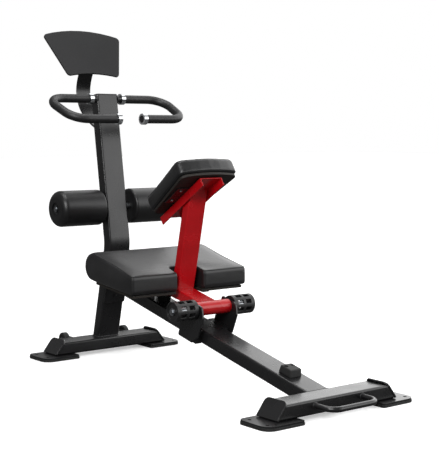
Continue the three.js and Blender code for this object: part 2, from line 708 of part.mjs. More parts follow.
function makeHandlebars() {
  const rootZ = COLUMN_HEIGHT - BAR_BELOW_TOP;
  const loop = group(machine, columnMiddle(rootZ) - BAR_AHEAD, rootZ, BAR_DROP);
  const root = TUBE_WIDTH / 2 + GAP;
  const corners = [
    new THREE.Vector3(root, 0, 0),
    new THREE.Vector3(BAR_BACK_CORNER, 0, 0),
    new THREE.Vector3(BAR_FRONT_CORNER, -BAR_REACH, 0),
    new THREE.Vector3(BAR_FRONT_END, -BAR_REACH, 0),
  ];
  const path = rounded(corners, { radius: BAR_BEND, steps: 5 });
  const tube = sweep(ring(BAR_RADIUS, BAR_RADIUS - BAR_WALL, 10), path);
  pair(loop, 'handlebar', tube, BLACK_PAINT);
  const collarStart = root + COLLAR_FROM_COLUMN;
  const gripStart = collarStart + COLLAR_LENGTH + GAP;
  const gripEnd = BAR_FRONT_END + COLLAR_LENGTH + GAP;
  const gripPath = path.map((p) => p.clone());
  gripPath[0].x = gripStart;
  gripPath[gripPath.length - 1].x = gripEnd;
  pair(loop, 'grip', sweep(ring(GRIP_RADIUS, BAR_RADIUS + GAP, 10), gripPath), FOAM);
  const sides = 16;
  const bore = (BAR_RADIUS + GAP) / Math.cos(Math.PI / sides);
  const collar = (from) => turnedX([
    at(from, bore), at(from + COLLAR_LENGTH, bore),
    at(from + COLLAR_LENGTH, GRIP_RADIUS + 1), at(from + COLLAR_LENGTH - 5, COLLAR_RADIUS),
    at(from + 4, COLLAR_RADIUS), at(from, COLLAR_RADIUS - 3),
  ], sides);
  pair(loop, 'back_collar', collar(collarStart), CHROME);
  pair(loop, 'front_collar', collar(BAR_FRONT_END).translate(0, -BAR_REACH, 0), CHROME);
}

// ---------------------------------------------------------------- instruction board

// The board's face frame: X across, Y' up along the face, Z' towards the user.
const boardBase = {
  y: columnHead.y + BOARD_BEHIND,
  z: COLUMN_HEIGHT + BOARD_ABOVE,
  tilt: Math.PI / 2 - BOARD_LEAN,
};

function makeBoard() {
  const [low, high] = [BOARD_BOTTOM_HALF, BOARD_TOP_HALF];
  const arc = (half, rise, height, steps = 8) => Array.from({ length: steps + 1 }, (_, i) => {
    const x = -half + (2 * half * i) / steps;
    return at(x, height + rise * (1 - (x / half) ** 2), 0);
  });
  const bottom = arc(low, BOARD_BOTTOM_RISE, 0);
  const top = arc(high, BOARD_TOP_RISE, BOARD_HEIGHT).reverse();
  [bottom[0], bottom.at(-1), top[0], top.at(-1)].forEach((p) => { p.r = BOARD_CORNER; });
  const shape = outline([...bottom, ...top]);
  const board = group(machine, boardBase.y, boardBase.z, boardBase.tilt);
  piece(board, 'instruction_board', upright(shape, -BOARD_THICKNESS, 0), BOARD_GREY);
}

// A flat strip bowed from the column's rear face up to the board's back.
function makeNeck() {
  const root = COLUMN_HEIGHT - NECK_ROOT;
  const toFace = TUBE_DEPTH / 2 / Math.cos(COLUMN_UPPER_LEAN);
  const behind = BOARD_THICKNESS + NECK_THICKNESS / 2;
  const onBoard = (height) => new THREE.Vector3(0, height, -behind)
    .applyAxisAngle(new THREE.Vector3(1, 0, 0), boardBase.tilt)
    .add(new THREE.Vector3(0, boardBase.y, boardBase.z));
  const curve = new THREE.CatmullRomCurve3([
    new THREE.Vector3(0, columnMiddle(root) + toFace, root),
    ...NECK_BOW.map(([y, z]) => new THREE.Vector3(0, columnHead.y + y, columnHead.z + z)),
    ...NECK_ON_BOARD.map(onBoard),
  ]);
  const strip = sweep(rectangle(NECK_WIDTH, NECK_THICKNESS, 2, 1), curve.getPoints(20));
  const columnTool = box([-200, 200], [-200, TUBE_DEPTH / 2 + GAP], [-900, 900]);
  columnTool.rotateX(-COLUMN_UPPER_LEAN).translate(0, columnBend.y, columnBend.z);
  const boardTool = box([-300, 300], [-100, 400], [-BOARD_THICKNESS - GAP, 200]);
  boardTool.rotateX(boardBase.tilt).translate(0, boardBase.y, boardBase.z);
  piece(machine, 'neck_strip', cut(strip, columnTool, boardTool), BLACK_PAINT);
}

// ---------------------------------------------------------------- pivot towers and pegs

// Everything here is laid out in the arm's frame: Y along the beam's slope, Z square to it.
function makePivot() {
  const pivot = group(machine, PIVOT_Y, PIVOT_Z, BEAM_SLOPE);
  const top = -PIVOT_ABOVE_BEAM;
  const bottom = top - TUBE_DEPTH;
  const profile = outline([
    at(-44, top - 17, 8), at(-58, -18, 12), at(-42, 24, 20), at(12, 24, 12), at(21, 8, 4),
    at(23, 25, 8), at(41, 25, 8), at(47, -8, 10), at(64, -60, 14), at(74, bottom, 6),
    at(-12, bottom, 5),
  ], { steps: 3 });
  const face = TOWER_INNER;
  const plate = acrossX(profile, face, face + TOWER_PLATE);
  const spacer = box([TUBE_WIDTH / 2 + GAP, face + 1], SPACER, [bottom + 1, top - 1]);
  const bore = rodX(SHAFT_RADIUS + GAP, face - 1, face + TOWER_PLATE + 1, 20);
  pair(pivot, 'pivot_tower', cut(join(plate, spacer), bore), BLACK_PAINT);

  const pegStart = face + TOWER_PLATE + PEG_FROM_TOWER;
  const pegEnd = pegStart + PEG_LENGTH;
  const shaftEnd = pegEnd + SHAFT_BEYOND_PEG;
  piece(pivot, 'pivot_shaft', rodX(SHAFT_RADIUS, -shaftEnd, shaftEnd, 20), STEEL);
  const tubeEnd = face - TUBE_TO_TOWER;
  const inner = CROSS_TUBE_RADIUS - CROSS_TUBE_WALL;
  const crossTube = acrossX(ring(CROSS_TUBE_RADIUS, inner, 28), -tubeEnd, tubeEnd);
  piece(pivot, 'cross_tube', crossTube, RED_PAINT);
  const bush = ring(inner - GAP, SHAFT_RADIUS + RUNNING, 20);
  pair(pivot, 'pivot_bush', acrossX(bush, tubeEnd - BUSH_LENGTH, tubeEnd), BRONZE);
  pair(pivot, 'foot_peg', footPeg(pegStart, pegEnd), PLASTIC);
}

// An open cage: two end discs, a middle sleeve and a slotted shell.
function footPeg(from, to) {
  const bore = SHAFT_RADIUS + RUNNING;
  const shell = acrossX(ring(PEG_RADIUS, PEG_RADIUS - PEG_WALL, 16), from, to);
  const core = acrossX(ring(bore + PEG_CORE_WALL, bore, 12), from, to);
  const disk = (x) => acrossX(ring(PEG_RADIUS - 1, bore, 12), x, x + PEG_WALL);
  const cage = join(shell, core, disk(from), disk(to - PEG_WALL));
  const slotLength = (to - from - 2 * PEG_WALL - 3 * PEG_RIB) / 2;
  const slotY = [-PEG_SLOT_WIDTH / 2, PEG_SLOT_WIDTH / 2];
  const slotZ = [PEG_RADIUS - 2 * PEG_WALL, PEG_RADIUS + PEG_WALL];
  const slots = [];
  for (let i = 0; i < PEG_SLOTS; i += 1) {
    for (let row = 0; row < 2; row += 1) {
      const x = from + PEG_WALL + PEG_RIB + row * (slotLength + PEG_RIB);
      const slot = box([x, x + slotLength], slotY, slotZ);
      slots.push(slot.rotateX(((i + 0.5) * 2 * Math.PI) / PEG_SLOTS));
    }
  }
  return cut(cage, ...slots);
}

// ---------------------------------------------------------------- rocking arm and saddle

function makeArm() {
  const arm = group(machine, PIVOT_Y, PIVOT_Z, BEAM_SLOPE);
  const section = tubeSection(ARM_WIDTH, ARM_DEPTH, ARM_WALL, ARM_CORNER);
  const half = ARM_DEPTH / 2;
  const along = (y, z) => new THREE.Vector3(0, y, z);
  const crossTube = rodX(CROSS_TUBE_RADIUS + GAP, -ARM_WIDTH, ARM_WIDTH);
  const barEnd = POST_FROM_PIVOT - half - GAP;
  const bar = sweep(section, [along(FOOT_BAR_START, -FOOT_BAR_DROP), along(barEnd, -FOOT_BAR_DROP)]);
  piece(arm, 'arm_foot_bar', cut(bar, crossTube), RED_PAINT);

  // the saddle's frame: Y down the seat's slope, Z square to it, 0 at the underside of the board
  const saddleY = POST_FROM_PIVOT - SADDLE_AHEAD_OF_POST;
  const saddle = group(arm, saddleY, SADDLE_ABOVE_PIVOT, -SADDLE_ANGLE);
  const webTop = -SADDLE_PLATE - 2 * GAP;
  const above = box([-300, 300], [-300, 600], [webTop - CHANNEL_WALL - GAP, 600]);
  above.rotateX(-SADDLE_ANGLE).translate(0, saddleY, SADDLE_ABOVE_PIVOT);
  const post = sweep(section, [
    along(POST_FROM_PIVOT, -half - FOOT_BAR_DROP),
    along(POST_FROM_PIVOT, SADDLE_ABOVE_PIVOT + SADDLE_LENGTH),
  ]);
  piece(arm, 'arm_post', cut(post, above), RED_PAINT);
  makeSaddleFrame(saddle, webTop);
  makeSeat(saddle);
}

function makeSaddleFrame(saddle, webTop) {
  const wide = ARM_WIDTH / 2 + CHANNEL_PLAY + CHANNEL_WALL;
  const [start, end] = CHANNEL_RUN;
  const block = box([-wide, wide], [start, end], [webTop - CHANNEL_DEPTH, webTop]);
  const hollow = box(
    [-wide + CHANNEL_WALL, wide - CHANNEL_WALL],
    [start - 1, end + 1],
    [webTop - CHANNEL_DEPTH - 1, webTop - CHANNEL_WALL],
  );
  piece(saddle, 'saddle_channel', cut(block, hollow), RED_PAINT);
  const across = [-SADDLE_PLATE_HALF, SADDLE_PLATE_HALF];
  const plate = box(across, SADDLE_PLATE_RUN, [-GAP - SADDLE_PLATE, -GAP]);
  piece(saddle, 'saddle_plate', plate, BLACK_PAINT);
}

// The seat's plan: a bulged upper edge and two straight sides that come together below.
function seatPlan(inset) {
  const upper = SADDLE_REAR_HALF - inset;
  const lower = upper - SADDLE_TAPER * SADDLE_LENGTH;
  const last = 6;
  const edge = Array.from({ length: last + 1 }, (_, i) => {
    const share = (2 * i) / last - 1;
    const corner = i % last === 0 ? SADDLE_CORNERS[0] : 0;
    return at(share * upper, inset - SADDLE_BULGE * (1 - share ** 2), corner);
  });
  const end = SADDLE_LENGTH - inset;
  return outline([...edge, at(lower, end, SADDLE_CORNERS[1]), at(-lower, end, SADDLE_CORNERS[1])]);
}

function makeSeat(saddle) {
  const board = upright(seatPlan(SADDLE_BOARD_INSET), 0, SADDLE_BOARD);
  piece(saddle, 'saddle_board', board, PLYWOOD);
  const settings = {
    depth: SADDLE_FOAM - 2 * SADDLE_EDGE,
    bevelSize: SADDLE_EDGE,
    bevelOffset: -SADDLE_EDGE,
    bevelThickness: SADDLE_EDGE,
    bevelSegments: 3,
  };
  const cushion = new THREE.ExtrudeGeometry(seatPlan(0), settings);
  cushion.translate(0, 0, SADDLE_BOARD + GAP + SADDLE_EDGE);
  piece(saddle, 'saddle_cushion', cushion, VINYL);
}

// ---------------------------------------------------------------- stops, lift handle, wheels

function makeStops() {
  const pivot = group(machine, PIVOT_Y, PIVOT_Z, BEAM_SLOPE);
  const underBar = -FOOT_BAR_DROP - ARM_DEPTH / 2;
  const buffer = upright(disc(BUFFER_RADIUS, 20), -PIVOT_ABOVE_BEAM + GAP, underBar - GAP);
  piece(pivot, 'rest_buffer', buffer.translate(0, BUFFER_FROM_PIVOT, 0), RUBBER_BLACK);

  const beam = group(machine, FRONT_FOOT_REAR_FACE, BEAM_FRONT_TOP, BEAM_SLOPE);
  const [x, y, top] = [BLOCK_WIDTH / 2, BLOCK_LENGTH / 2, BLOCK_HEIGHT];
  const side = outline([
    at(-y, 0, 0), at(y, 0, 0), at(y, BLOCK_SHOULDER, 0),
    at(y - BLOCK_DRAFT, top, 5), at(-y + BLOCK_DRAFT, top, 5),
    at(-y, BLOCK_SHOULDER, 0),
  ], { steps: 2 });
  const block = acrossX(side, -x, x, BLOCK_EDGE);
  const bolt = (boltX) => (
    upright(disc(BLOCK_BOLT, 12), top - BLOCK_BOLT_DEPTH, top + 1).translate(boltX, 0, 0)
  );
  const stop = cut(block, bolt(-BLOCK_BOLT_X), bolt(BLOCK_BOLT_X));
  piece(beam, 'front_stop_block', stop.translate(0, BLOCK_FROM_FRONT_FOOT, GAP), RUBBER_BLACK);
}

function makeLiftHandle() {
  const face = FRONT_FOOT_Y - TUBE_WIDTH / 2 - GAP;
  const front = face - LIFT_REACH;
  const low = LIFT_HEIGHT - LIFT_DROOP;
  const corners = [
    new THREE.Vector3(-LIFT_HALF_WIDTH, face + LIFT_BAR, LIFT_HEIGHT),
    new THREE.Vector3(-LIFT_HALF_WIDTH, front, low),
    new THREE.Vector3(LIFT_HALF_WIDTH, front, low),
    new THREE.Vector3(LIFT_HALF_WIDTH, face + LIFT_BAR, LIFT_HEIGHT),
  ];
  const bar = sweep(disc(LIFT_BAR, 10), rounded(corners, { radius: LIFT_BEND }));
  const foot = box([-400, 400], [face, face + 100], [-50, 200]);
  piece(machine, 'lift_handle', cut(bar, foot), BLACK_PAINT);
}

function makeWheels() {
  const rearFace = REAR_FOOT_Y + TUBE_WIDTH / 2;
  const axle = group(machine, rearFace + WHEEL_BEHIND_FOOT, WHEEL_Z);
  const [from, to] = [WHEEL_X - WHEEL_WIDTH / 2, WHEEL_X + WHEEL_WIDTH / 2];
  const bore = WHEEL_PIN + RUNNING;
  const tread = rounded([
    at(from, bore, 0), at(from, WHEEL_RADIUS, WHEEL_ROUND), at(to, WHEEL_RADIUS, WHEEL_ROUND),
    at(to, bore, 0),
  ], { loop: true, steps: 2 });
  pair(axle, 'wheel', turnedX(tread, 24), RUBBER_BLACK);
  const plateX = from - WHEEL_SIDE_PLAY - WHEEL_BRACKET;
  const root = -WHEEL_BEHIND_FOOT + GAP;
  const profile = outline([
    at(root, -20, 2), at(-10, -20, 4), at(14, -4, 12), at(14, 12, 10), at(-10, 14, 4),
    at(root, 14, 2),
  ], { steps: 3 });
  const plate = acrossX(profile, plateX, plateX + WHEEL_BRACKET);
  const pin = rodX(WHEEL_PIN, plateX + 1, to + WHEEL_SIDE_PLAY, 16);
  pair(axle, 'wheel_bracket', join(plate, pin), BLACK_PAINT);
}

// The origin goes to the middle of the footprint.
function centre() {
  const size = new THREE.Box3().setFromObject(machine);
  machine.position.y = -(size.min.y + size.max.y) / 2;
  machine.updateMatrixWorld(true);
}

makeFeet();
makeColumn();
makeBeam();
makeKneePad();
makeRollers();
makeHandlebars();
makeBoard();
makeNeck();
makePivot();
makeArm();
makeStops();
makeLiftHandle();
makeWheels();
centre();

export default machine;
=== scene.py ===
"""Looks for a kneeling stretch trainer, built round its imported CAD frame.

Units are metres, +Z up. +Y points to the column and the board, -Y to the lift handle, and X = 0
is the machine's middle plane.
"""
import math

import bmesh
import bpy
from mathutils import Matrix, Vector
from mathutils.bvhtree import BVHTree


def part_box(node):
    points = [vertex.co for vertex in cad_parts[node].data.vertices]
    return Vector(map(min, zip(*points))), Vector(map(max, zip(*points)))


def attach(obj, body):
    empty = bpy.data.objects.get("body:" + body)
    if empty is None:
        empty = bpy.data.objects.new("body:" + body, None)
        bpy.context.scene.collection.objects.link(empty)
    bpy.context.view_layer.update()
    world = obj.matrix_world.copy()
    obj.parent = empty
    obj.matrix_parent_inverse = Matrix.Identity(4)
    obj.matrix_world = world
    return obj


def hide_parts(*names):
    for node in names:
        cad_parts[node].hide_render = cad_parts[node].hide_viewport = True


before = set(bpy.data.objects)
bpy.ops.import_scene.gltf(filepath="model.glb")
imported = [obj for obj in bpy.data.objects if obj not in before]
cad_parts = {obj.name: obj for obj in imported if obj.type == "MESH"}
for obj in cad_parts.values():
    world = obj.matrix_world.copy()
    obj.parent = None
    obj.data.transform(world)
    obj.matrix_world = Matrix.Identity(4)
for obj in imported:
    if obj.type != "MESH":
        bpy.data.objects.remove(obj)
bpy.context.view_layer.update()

X, Y, Z = Vector((1, 0, 0)), Vector((0, 1, 0)), Vector((0, 0, 1))
MM = 0.001

# ------------------------------------------------------------------ driving sizes

# slopes, radii, bends and corners of the pieces that are modelled again here
BEAM_SLOPE = math.radians(12.8)
BAR_DROP = math.radians(24.3)
SEAT_TILT = math.radians(32.3)

BAR_RADIUS = 15 * MM
BAR_BEND = 72 * MM
BAR_BACK_CORNER = 284 * MM
BAR_FRONT_CORNER = 264 * MM
GRIP_RADIUS = 17.5 * MM
COLLAR_CUP = 22.5 * MM
COLLAR_FLANGE = 3.6 * MM
COLLAR_LENGTH = 18 * MM
LIFT_BAR = 9.5 * MM
LIFT_BEND = 40 * MM
ROLLER_RADIUS = 72 * MM
ROLLER_OUTER_ROUND = 26 * MM
ROLLER_INNER_ROUND = 10 * MM
ROLLER_CORE = 18.4 * MM
PEG_RADIUS = 37 * MM
PEG_WALL = 5 * MM
PEG_SLOTS = 8
PEG_RIB = 11 * MM
PEG_WINDOW = 16 * MM
WHEEL_RADIUS = 30 * MM
STOP_DEPTH = 66 * MM
STOP_HEIGHT = 28 * MM
PAD_BOARD = 10 * MM
HELD_OVER_BOARD = 6 * MM  # the cover is stapled this far up its sides
WELT_BELOW_TOP = 7 * MM

# bolts and screws: head radius, head height and washer radius
FLANGE_BOLT = (8 * MM, 5 * MM, 11 * MM)
FRAME_BOLT = (6.5 * MM, 4.5 * MM, 9 * MM)
PLATE_SCREW = (5 * MM, 3 * MM, 7 * MM)
BOARD_SCREW = (5 * MM, 3.5 * MM, 7.5 * MM)
RISER_BOLTS_Y = (262 * MM, 302 * MM)
RISER_BOLTS_Z = 298 * MM
RAIL_SCREWS_Y = (100 * MM, 200 * MM)
RAIL_SCREWS_X = 88 * MM
SADDLE_SCREWS_X = 76 * MM

ALONG_BEAM = Vector((0, math.cos(BEAM_SLOPE), math.sin(BEAM_SLOPE)))
OFF_BEAM = Vector((0, -math.sin(BEAM_SLOPE), math.cos(BEAM_SLOPE)))
DOWN_SEAT = Vector((0, math.cos(SEAT_TILT), -math.sin(SEAT_TILT)))
OFF_SEAT = Vector((0, math.sin(SEAT_TILT), math.cos(SEAT_TILT)))


def middle(node):
    low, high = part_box(node)
    return (low + high) / 2


# ------------------------------------------------------------------ materials

def linear(code):
    """An sRGB hex colour as linear RGBA."""
    parts = [int(code[i:i + 2], 16) / 255 for i in (1, 3, 5)]
    return [c / 12.92 if c <= 0.04045 else ((c + 0.055) / 1.055) ** 2.4 for c in parts] + [1]


def add_node(tree, kind, inputs=None, **settings):
    """A shader node with its settings, its inputs given as values or as sockets to link."""
    made = tree.nodes.new("ShaderNode" + kind)
    for name, value in settings.items():
        setattr(made, name, value)
    for socket, value in (inputs or {}).items():
        if isinstance(value, bpy.types.NodeSocket):
            tree.links.new(value, made.inputs[socket])
        else:
            made.inputs[socket].default_value = value
    return made


def new_material(name, **shader):
    """A material with its shader's fixed values set; returns it, its tree, shader and coordinates."""
    material = bpy.data.materials.new(name)
    material.use_nodes = True
    tree = material.node_tree
    tree.nodes.clear()
    bsdf = add_node(tree, "BsdfPrincipled", {k.replace("_", " "): v for k, v in shader.items()})
    add_node(tree, "OutputMaterial", {"Surface": bsdf.outputs[0]})
    place = add_node(tree, "TexCoord").outputs["Object"]
    return material, tree, bsdf, place


def grain(tree, place, size, detail=2.0, roughness=0.5):
    """Noise whose features are about size metres across."""
    inputs = {"Vector": place, "Scale": 1 / size, "Detail": detail, "Roughness": roughness}
    return add_node(tree, "TexNoise", inputs).outputs["Fac"]


def spread(tree, value, low, high, start=0.3, end=0.7):
    """Maps a pattern's start-to-end stretch to low-to-high."""
    inputs = {"Value": value, "From Min": start, "From Max": end, "To Min": low, "To Max": high}
    return add_node(tree, "MapRange", inputs).outputs[0]


def two_tone(tree, factor, first, second):
    """A colour between two hex colours, so that a surface is never one flat tone."""
    mixed = add_node(tree, "Mix", {"Factor": factor}, data_type="RGBA")
    mixed.inputs[6].default_value = linear(first)
    mixed.inputs[7].default_value = linear(second)
    return mixed.outputs[2]


def relief(tree, height, depth, strength=1.0, under=None):
    """A bump of a height pattern, depth metres deep, laid over an earlier bump if one is given."""
    inputs = {"Height": height, "Distance": depth, "Strength": strength}
    if under is not None:
        inputs["Normal"] = under
    return add_node(tree, "Bump", inputs).outputs[0]


def powder_coat(name, first, second, rough, coat):
    """Baked polyester powder: a fine orange peel, a soft gloss and slightly uneven sheen."""
    material, tree, bsdf, place = new_material(name, IOR=1.5, Coat_Weight=coat, Coat_Roughness=0.2)
    # the real peel is 0.5 mm across; drawn at 1.6 mm so that it shows
    peel = grain(tree, place, 1.6 * MM, 1.0)
    cloud = grain(tree, place, 90 * MM, 3.0)
    tone = spread(tree, cloud, 0, 1)
    tree.links.new(two_tone(tree, tone, first, second), bsdf.inputs["Base Color"])
    tree.links.new(spread(tree, cloud, rough - 0.03, rough + 0.04), bsdf.inputs["Roughness"])
    tree.links.new(relief(tree, peel, 0.05 * MM, 0.5), bsdf.inputs["Normal"])
    return material


def vinyl():
    """Upholstery vinyl: embossed leather grain over foam, with a soft broad shine."""
    material, tree, bsdf, place = new_material("grained_upholstery_vinyl", IOR=1.5, Sheen_Weight=0.03)
    # real pebbles are 1 mm; drawn at 2.2 mm so that they show
    cells = add_node(tree, "TexVoronoi", {"Vector": place, "Scale": 1 / (2.2 * MM)},
                     feature="DISTANCE_TO_EDGE").outputs["Distance"]
    pebble = spread(tree, cells, 0, 1, 0.0, 0.28)
    wrinkle = grain(tree, place, 30 * MM, 3.0)
    cloud = spread(tree, grain(tree, place, 120 * MM, 2.0), 0, 1)
    tree.links.new(two_tone(tree, cloud, "#141415", "#19191a"), bsdf.inputs["Base Color"])
    tree.links.new(spread(tree, pebble, 0.4, 0.32, 0, 1), bsdf.inputs["Roughness"])
    soft = relief(tree, wrinkle, 0.9 * MM, 0.5)
    tree.links.new(relief(tree, pebble, 0.12 * MM, 0.6, soft), bsdf.inputs["Normal"])
    return material


def foam_skin():
    """Moulded closed-cell foam: a dark skin with faint pores and a satin shine."""
    material, tree, bsdf, place = new_material("skinned_nitrile_foam", IOR=1.48)
    # pores of 0.6 mm, drawn at 1.8 mm so that they show
    pores = grain(tree, place, 1.8 * MM, 2.0)
    cloud = spread(tree, grain(tree, place, 60 * MM, 2.0), 0, 1)
    tree.links.new(two_tone(tree, cloud, "#101011", "#161617"), bsdf.inputs["Base Color"])
    tree.links.new(spread(tree, pores, 0.34, 0.44), bsdf.inputs["Roughness"])
    tree.links.new(relief(tree, pores, 0.1 * MM, 0.6), bsdf.inputs["Normal"])
    return material


def rubber(name, first, second, rough, size):
    """Moulded rubber: matt, faintly mottled, with a fine moulded texture."""
    material, tree, bsdf, place = new_material(name, IOR=1.52)
    speckle = grain(tree, place, size, 2.0)
    tree.links.new(two_tone(tree, spread(tree, speckle, 0, 1), first, second),
                   bsdf.inputs["Base Color"])
    tree.links.new(spread(tree, speckle, rough, rough + 0.1), bsdf.inputs["Roughness"])
    tree.links.new(relief(tree, speckle, 0.12 * MM, 0.6), bsdf.inputs["Normal"])
    return material


def moulded_nylon():
    """Injection-moulded black nylon: spark-eroded mould texture with a low sheen."""
    material, tree, bsdf, place = new_material("moulded_nylon", IOR=1.53)
    # the mould's texture is 0.3 mm; drawn at 1.2 mm so that it shows
    texture = grain(tree, place, 1.2 * MM, 1.0)
    tree.links.new(two_tone(tree, texture, "#161617", "#1e1e1f"), bsdf.inputs["Base Color"])
    tree.links.new(spread(tree, texture, 0.38, 0.48), bsdf.inputs["Roughness"])
    tree.links.new(relief(tree, texture, 0.05 * MM, 0.5), bsdf.inputs["Normal"])
    return material


def turned_metal(name, first, second, rough, pitch):
    """Metal turned on a lathe: fine rings across the X axis."""
    material, tree, bsdf, place = new_material(name, Metallic=1.0)
    rings = add_node(tree, "TexWave", {"Vector": place, "Scale": 1 / (20 * pitch)},
                     wave_type="BANDS", bands_direction="X").outputs["Fac"]
    smudge = spread(tree, grain(tree, place, 12 * MM, 3.0), 0, 1)
    tree.links.new(two_tone(tree, smudge, first, second), bsdf.inputs["Base Color"])
    tree.links.new(spread(tree, smudge, rough, rough + 0.08, 0, 1), bsdf.inputs["Roughness"])
    tree.links.new(relief(tree, rings, 0.02 * MM, 0.3), bsdf.inputs["Normal"])
    return material


def laminate():
    """Compact laminate with a plain matt face: even, fine-grained and nearly black."""
    material, tree, bsdf, place = new_material("compact_laminate", IOR=1.35)
    fleck = grain(tree, place, 2.5 * MM, 3.0)
    cloud = spread(tree, grain(tree, place, 150 * MM, 2.0), 0, 1)
    tree.links.new(two_tone(tree, cloud, "#1a1a1b", "#1e1e1f"), bsdf.inputs["Base Color"])
    tree.links.new(spread(tree, fleck, 0.62, 0.72), bsdf.inputs["Roughness"])
    tree.links.new(relief(tree, fleck, 0.03 * MM, 0.4), bsdf.inputs["Normal"])
    return material


def stained_ply():
    """Black-stained birch plywood: 1.4 mm veneers on edge and a long grain on the faces."""
    material, tree, bsdf, place = new_material("black_stained_birch_ply", IOR=1.5)
    stretched = add_node(tree, "Mapping", {"Vector": place, "Scale": (1.0, 0.08, 1.0)}).outputs[0]
    streak = grain(tree, stretched, 3 * MM, 4.0)
    veneer = add_node(tree, "TexWave", {"Vector": place, "Scale": 1 / (20 * 1.4 * MM)},
                      wave_type="BANDS", bands_direction="Z").outputs["Fac"]
    layers = add_node(tree, "Math", {0: streak, 1: veneer}, operation="MULTIPLY").outputs[0]
    tree.links.new(two_tone(tree, spread(tree, layers, 0, 1, 0, 0.6), "#141210", "#262019"),
                   bsdf.inputs["Base Color"])
    tree.links.new(spread(tree, streak, 0.6, 0.75), bsdf.inputs["Roughness"])
    tree.links.new(relief(tree, streak, 0.08 * MM, 0.5), bsdf.inputs["Normal"])
    return material


def weld_metal():
    """A painted weld bead: uneven ripples about 2 mm apart under the black coat."""
    material, tree, bsdf, place = new_material("painted_weld_bead", IOR=1.5)
    ripple = grain(tree, place, 2.2 * MM, 2.0)
    tree.links.new(two_tone(tree, ripple, "#1b1b1c", "#252526"), bsdf.inputs["Base Color"])
    tree.links.new(spread(tree, ripple, 0.38, 0.5), bsdf.inputs["Roughness"])
    tree.links.new(relief(tree, ripple, 0.3 * MM, 0.8), bsdf.inputs["Normal"])
    return material


BLACK_COAT = powder_coat("black_polyester_powder_coat", "#161617", "#1a1a1b", 0.27, 0.0)
RED_COAT = powder_coat("red_polyester_powder_coat", "#aa0810", "#b80c15", 0.25, 0.0)
VINYL = vinyl()
FOAM = foam_skin()
SOLE = rubber("moulded_sbr_rubber", "#171717", "#1f1f1f", 0.62, 1.5 * MM)
GRIP = rubber("nitrile_grip_sleeve", "#0f0f10", "#151516", 0.44, 1.8 * MM)
NYLON = moulded_nylon()
CHROME = turned_metal("bright_chrome_plate", "#d6d8da", "#e4e6e8", 0.07, 0.8 * MM)
STEEL = turned_metal("zinc_plated_steel", "#8d9094", "#a3a6a9", 0.26, 0.6 * MM)
BRONZE = turned_metal("sintered_bronze", "#8a6a3c", "#9c7a48", 0.35, 0.6 * MM)
LAMINATE = laminate()
PLY = stained_ply()
# the piping bead is real, but its near-black colour, darker than the cover, is painted shade of the
# seam line
PIPING_PAINTED_SEAM_SHADE = rubber("vinyl_piping_painted_seam_shade", "#070707", "#0d0d0d", 0.55, 1.5 * MM)
WELD = weld_metal()

# ------------------------------------------------------------------ modelling by hand

def deselect():
    if bpy.context.mode != "OBJECT":
        bpy.ops.object.mode_set(mode="OBJECT")
    bpy.ops.object.select_all(action="DESELECT")


def activate(piece):
    deselect()
    piece.select_set(True)
    bpy.context.view_layer.objects.active = piece
    return piece


def edit(piece, mode="FACE"):
    """Opens a piece in edit mode with nothing selected."""
    activate(piece)
    bpy.ops.object.mode_set(mode="EDIT")
    bpy.ops.mesh.select_mode(type=mode)
    bpy.ops.mesh.select_all(action="DESELECT")
    return piece


def pick_faces(piece, wanted):
    """Selects, in edit mode, the faces for which wanted(centre, normal) is true."""
    mesh = bmesh.from_edit_mesh(piece.data)
    for face in mesh.faces:
        face.select_set(bool(wanted(face.calc_center_median(), face.normal)))
    mesh.select_flush_mode()
    bmesh.update_edit_mesh(piece.data)


def pick_edges(piece, wanted):
    """Selects, in edit mode, the edges for which wanted(one end, other end) is true."""
    mesh = bmesh.from_edit_mesh(piece.data)
    for edge in mesh.edges:
        edge.select_set(bool(wanted(edge.verts[0].co, edge.verts[1].co)))
    bmesh.update_edit_mesh(piece.data)


def clean(piece):
    """Merges doubles and points the faces of a closed shape outwards."""
    edit(piece, "VERT")
    bpy.ops.mesh.select_all(action="SELECT")
    bpy.ops.mesh.remove_doubles(threshold=0.01 * MM)
    bpy.ops.mesh.normals_make_consistent(inside=False)
    bpy.ops.object.mode_set(mode="OBJECT")
    return piece


def settle(piece):
    """Puts a piece's place into its mesh and its object at the origin."""
    activate(piece)
    bpy.ops.object.transform_apply(location=True, rotation=True, scale=True)
    return piece


def apply_modifiers(piece):
    """Applies a piece's modifiers in their order."""
    activate(piece)
    for modifier in list(piece.modifiers):
        bpy.ops.object.modifier_apply(modifier=modifier.name)
    return piece


def soften(piece, width, segments=2, angle=40):
    """Rounds the sharp edges of a piece."""
    modifier = piece.modifiers.new("round", "BEVEL")
    modifier.width = width
    modifier.segments = segments
    modifier.limit_method = "ANGLE"
    modifier.angle_limit = math.radians(angle)
    return apply_modifiers(piece)


def smooth(piece, angle=35):
    """Smooth shading between faces that meet gently, with each flat face kept flat."""
    activate(piece)
    bpy.ops.object.shade_smooth_by_angle(angle=math.radians(angle))
    modifier = piece.modifiers.new("flats", "WEIGHTED_NORMAL")
    modifier.mode = "FACE_AREA"
    modifier.weight = 50
    modifier.keep_sharp = True
    return apply_modifiers(piece)


def finish(piece, name, material, slot, body="frame", stands_for=()):
    """Names a piece, gives it its finish and fixes it to its body."""
    piece.name = name
    piece.data.name = name
    piece.data.materials.clear()
    piece.data.materials.append(material)
    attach(piece, body)
    if stands_for:
        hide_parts(*stands_for)
    return piece


def turned_to(direction):
    """The rotation that takes +Z to a direction."""
    return Z.rotation_difference(Vector(direction)).to_euler()


def cylinder(centre, radius, length, direction=X, sides=48):
    deselect()
    bpy.ops.mesh.primitive_cylinder_add(
        vertices=sides, radius=radius, depth=length, location=centre,
        rotation=turned_to(direction), end_fill_type="NGON")
    return settle(bpy.context.object)


def block(centre, size, rotation=(0, 0, 0)):
    deselect()
    bpy.ops.mesh.primitive_cube_add(size=1, location=centre, rotation=rotation)
    piece = bpy.context.object
    piece.scale = size
    return settle(piece)


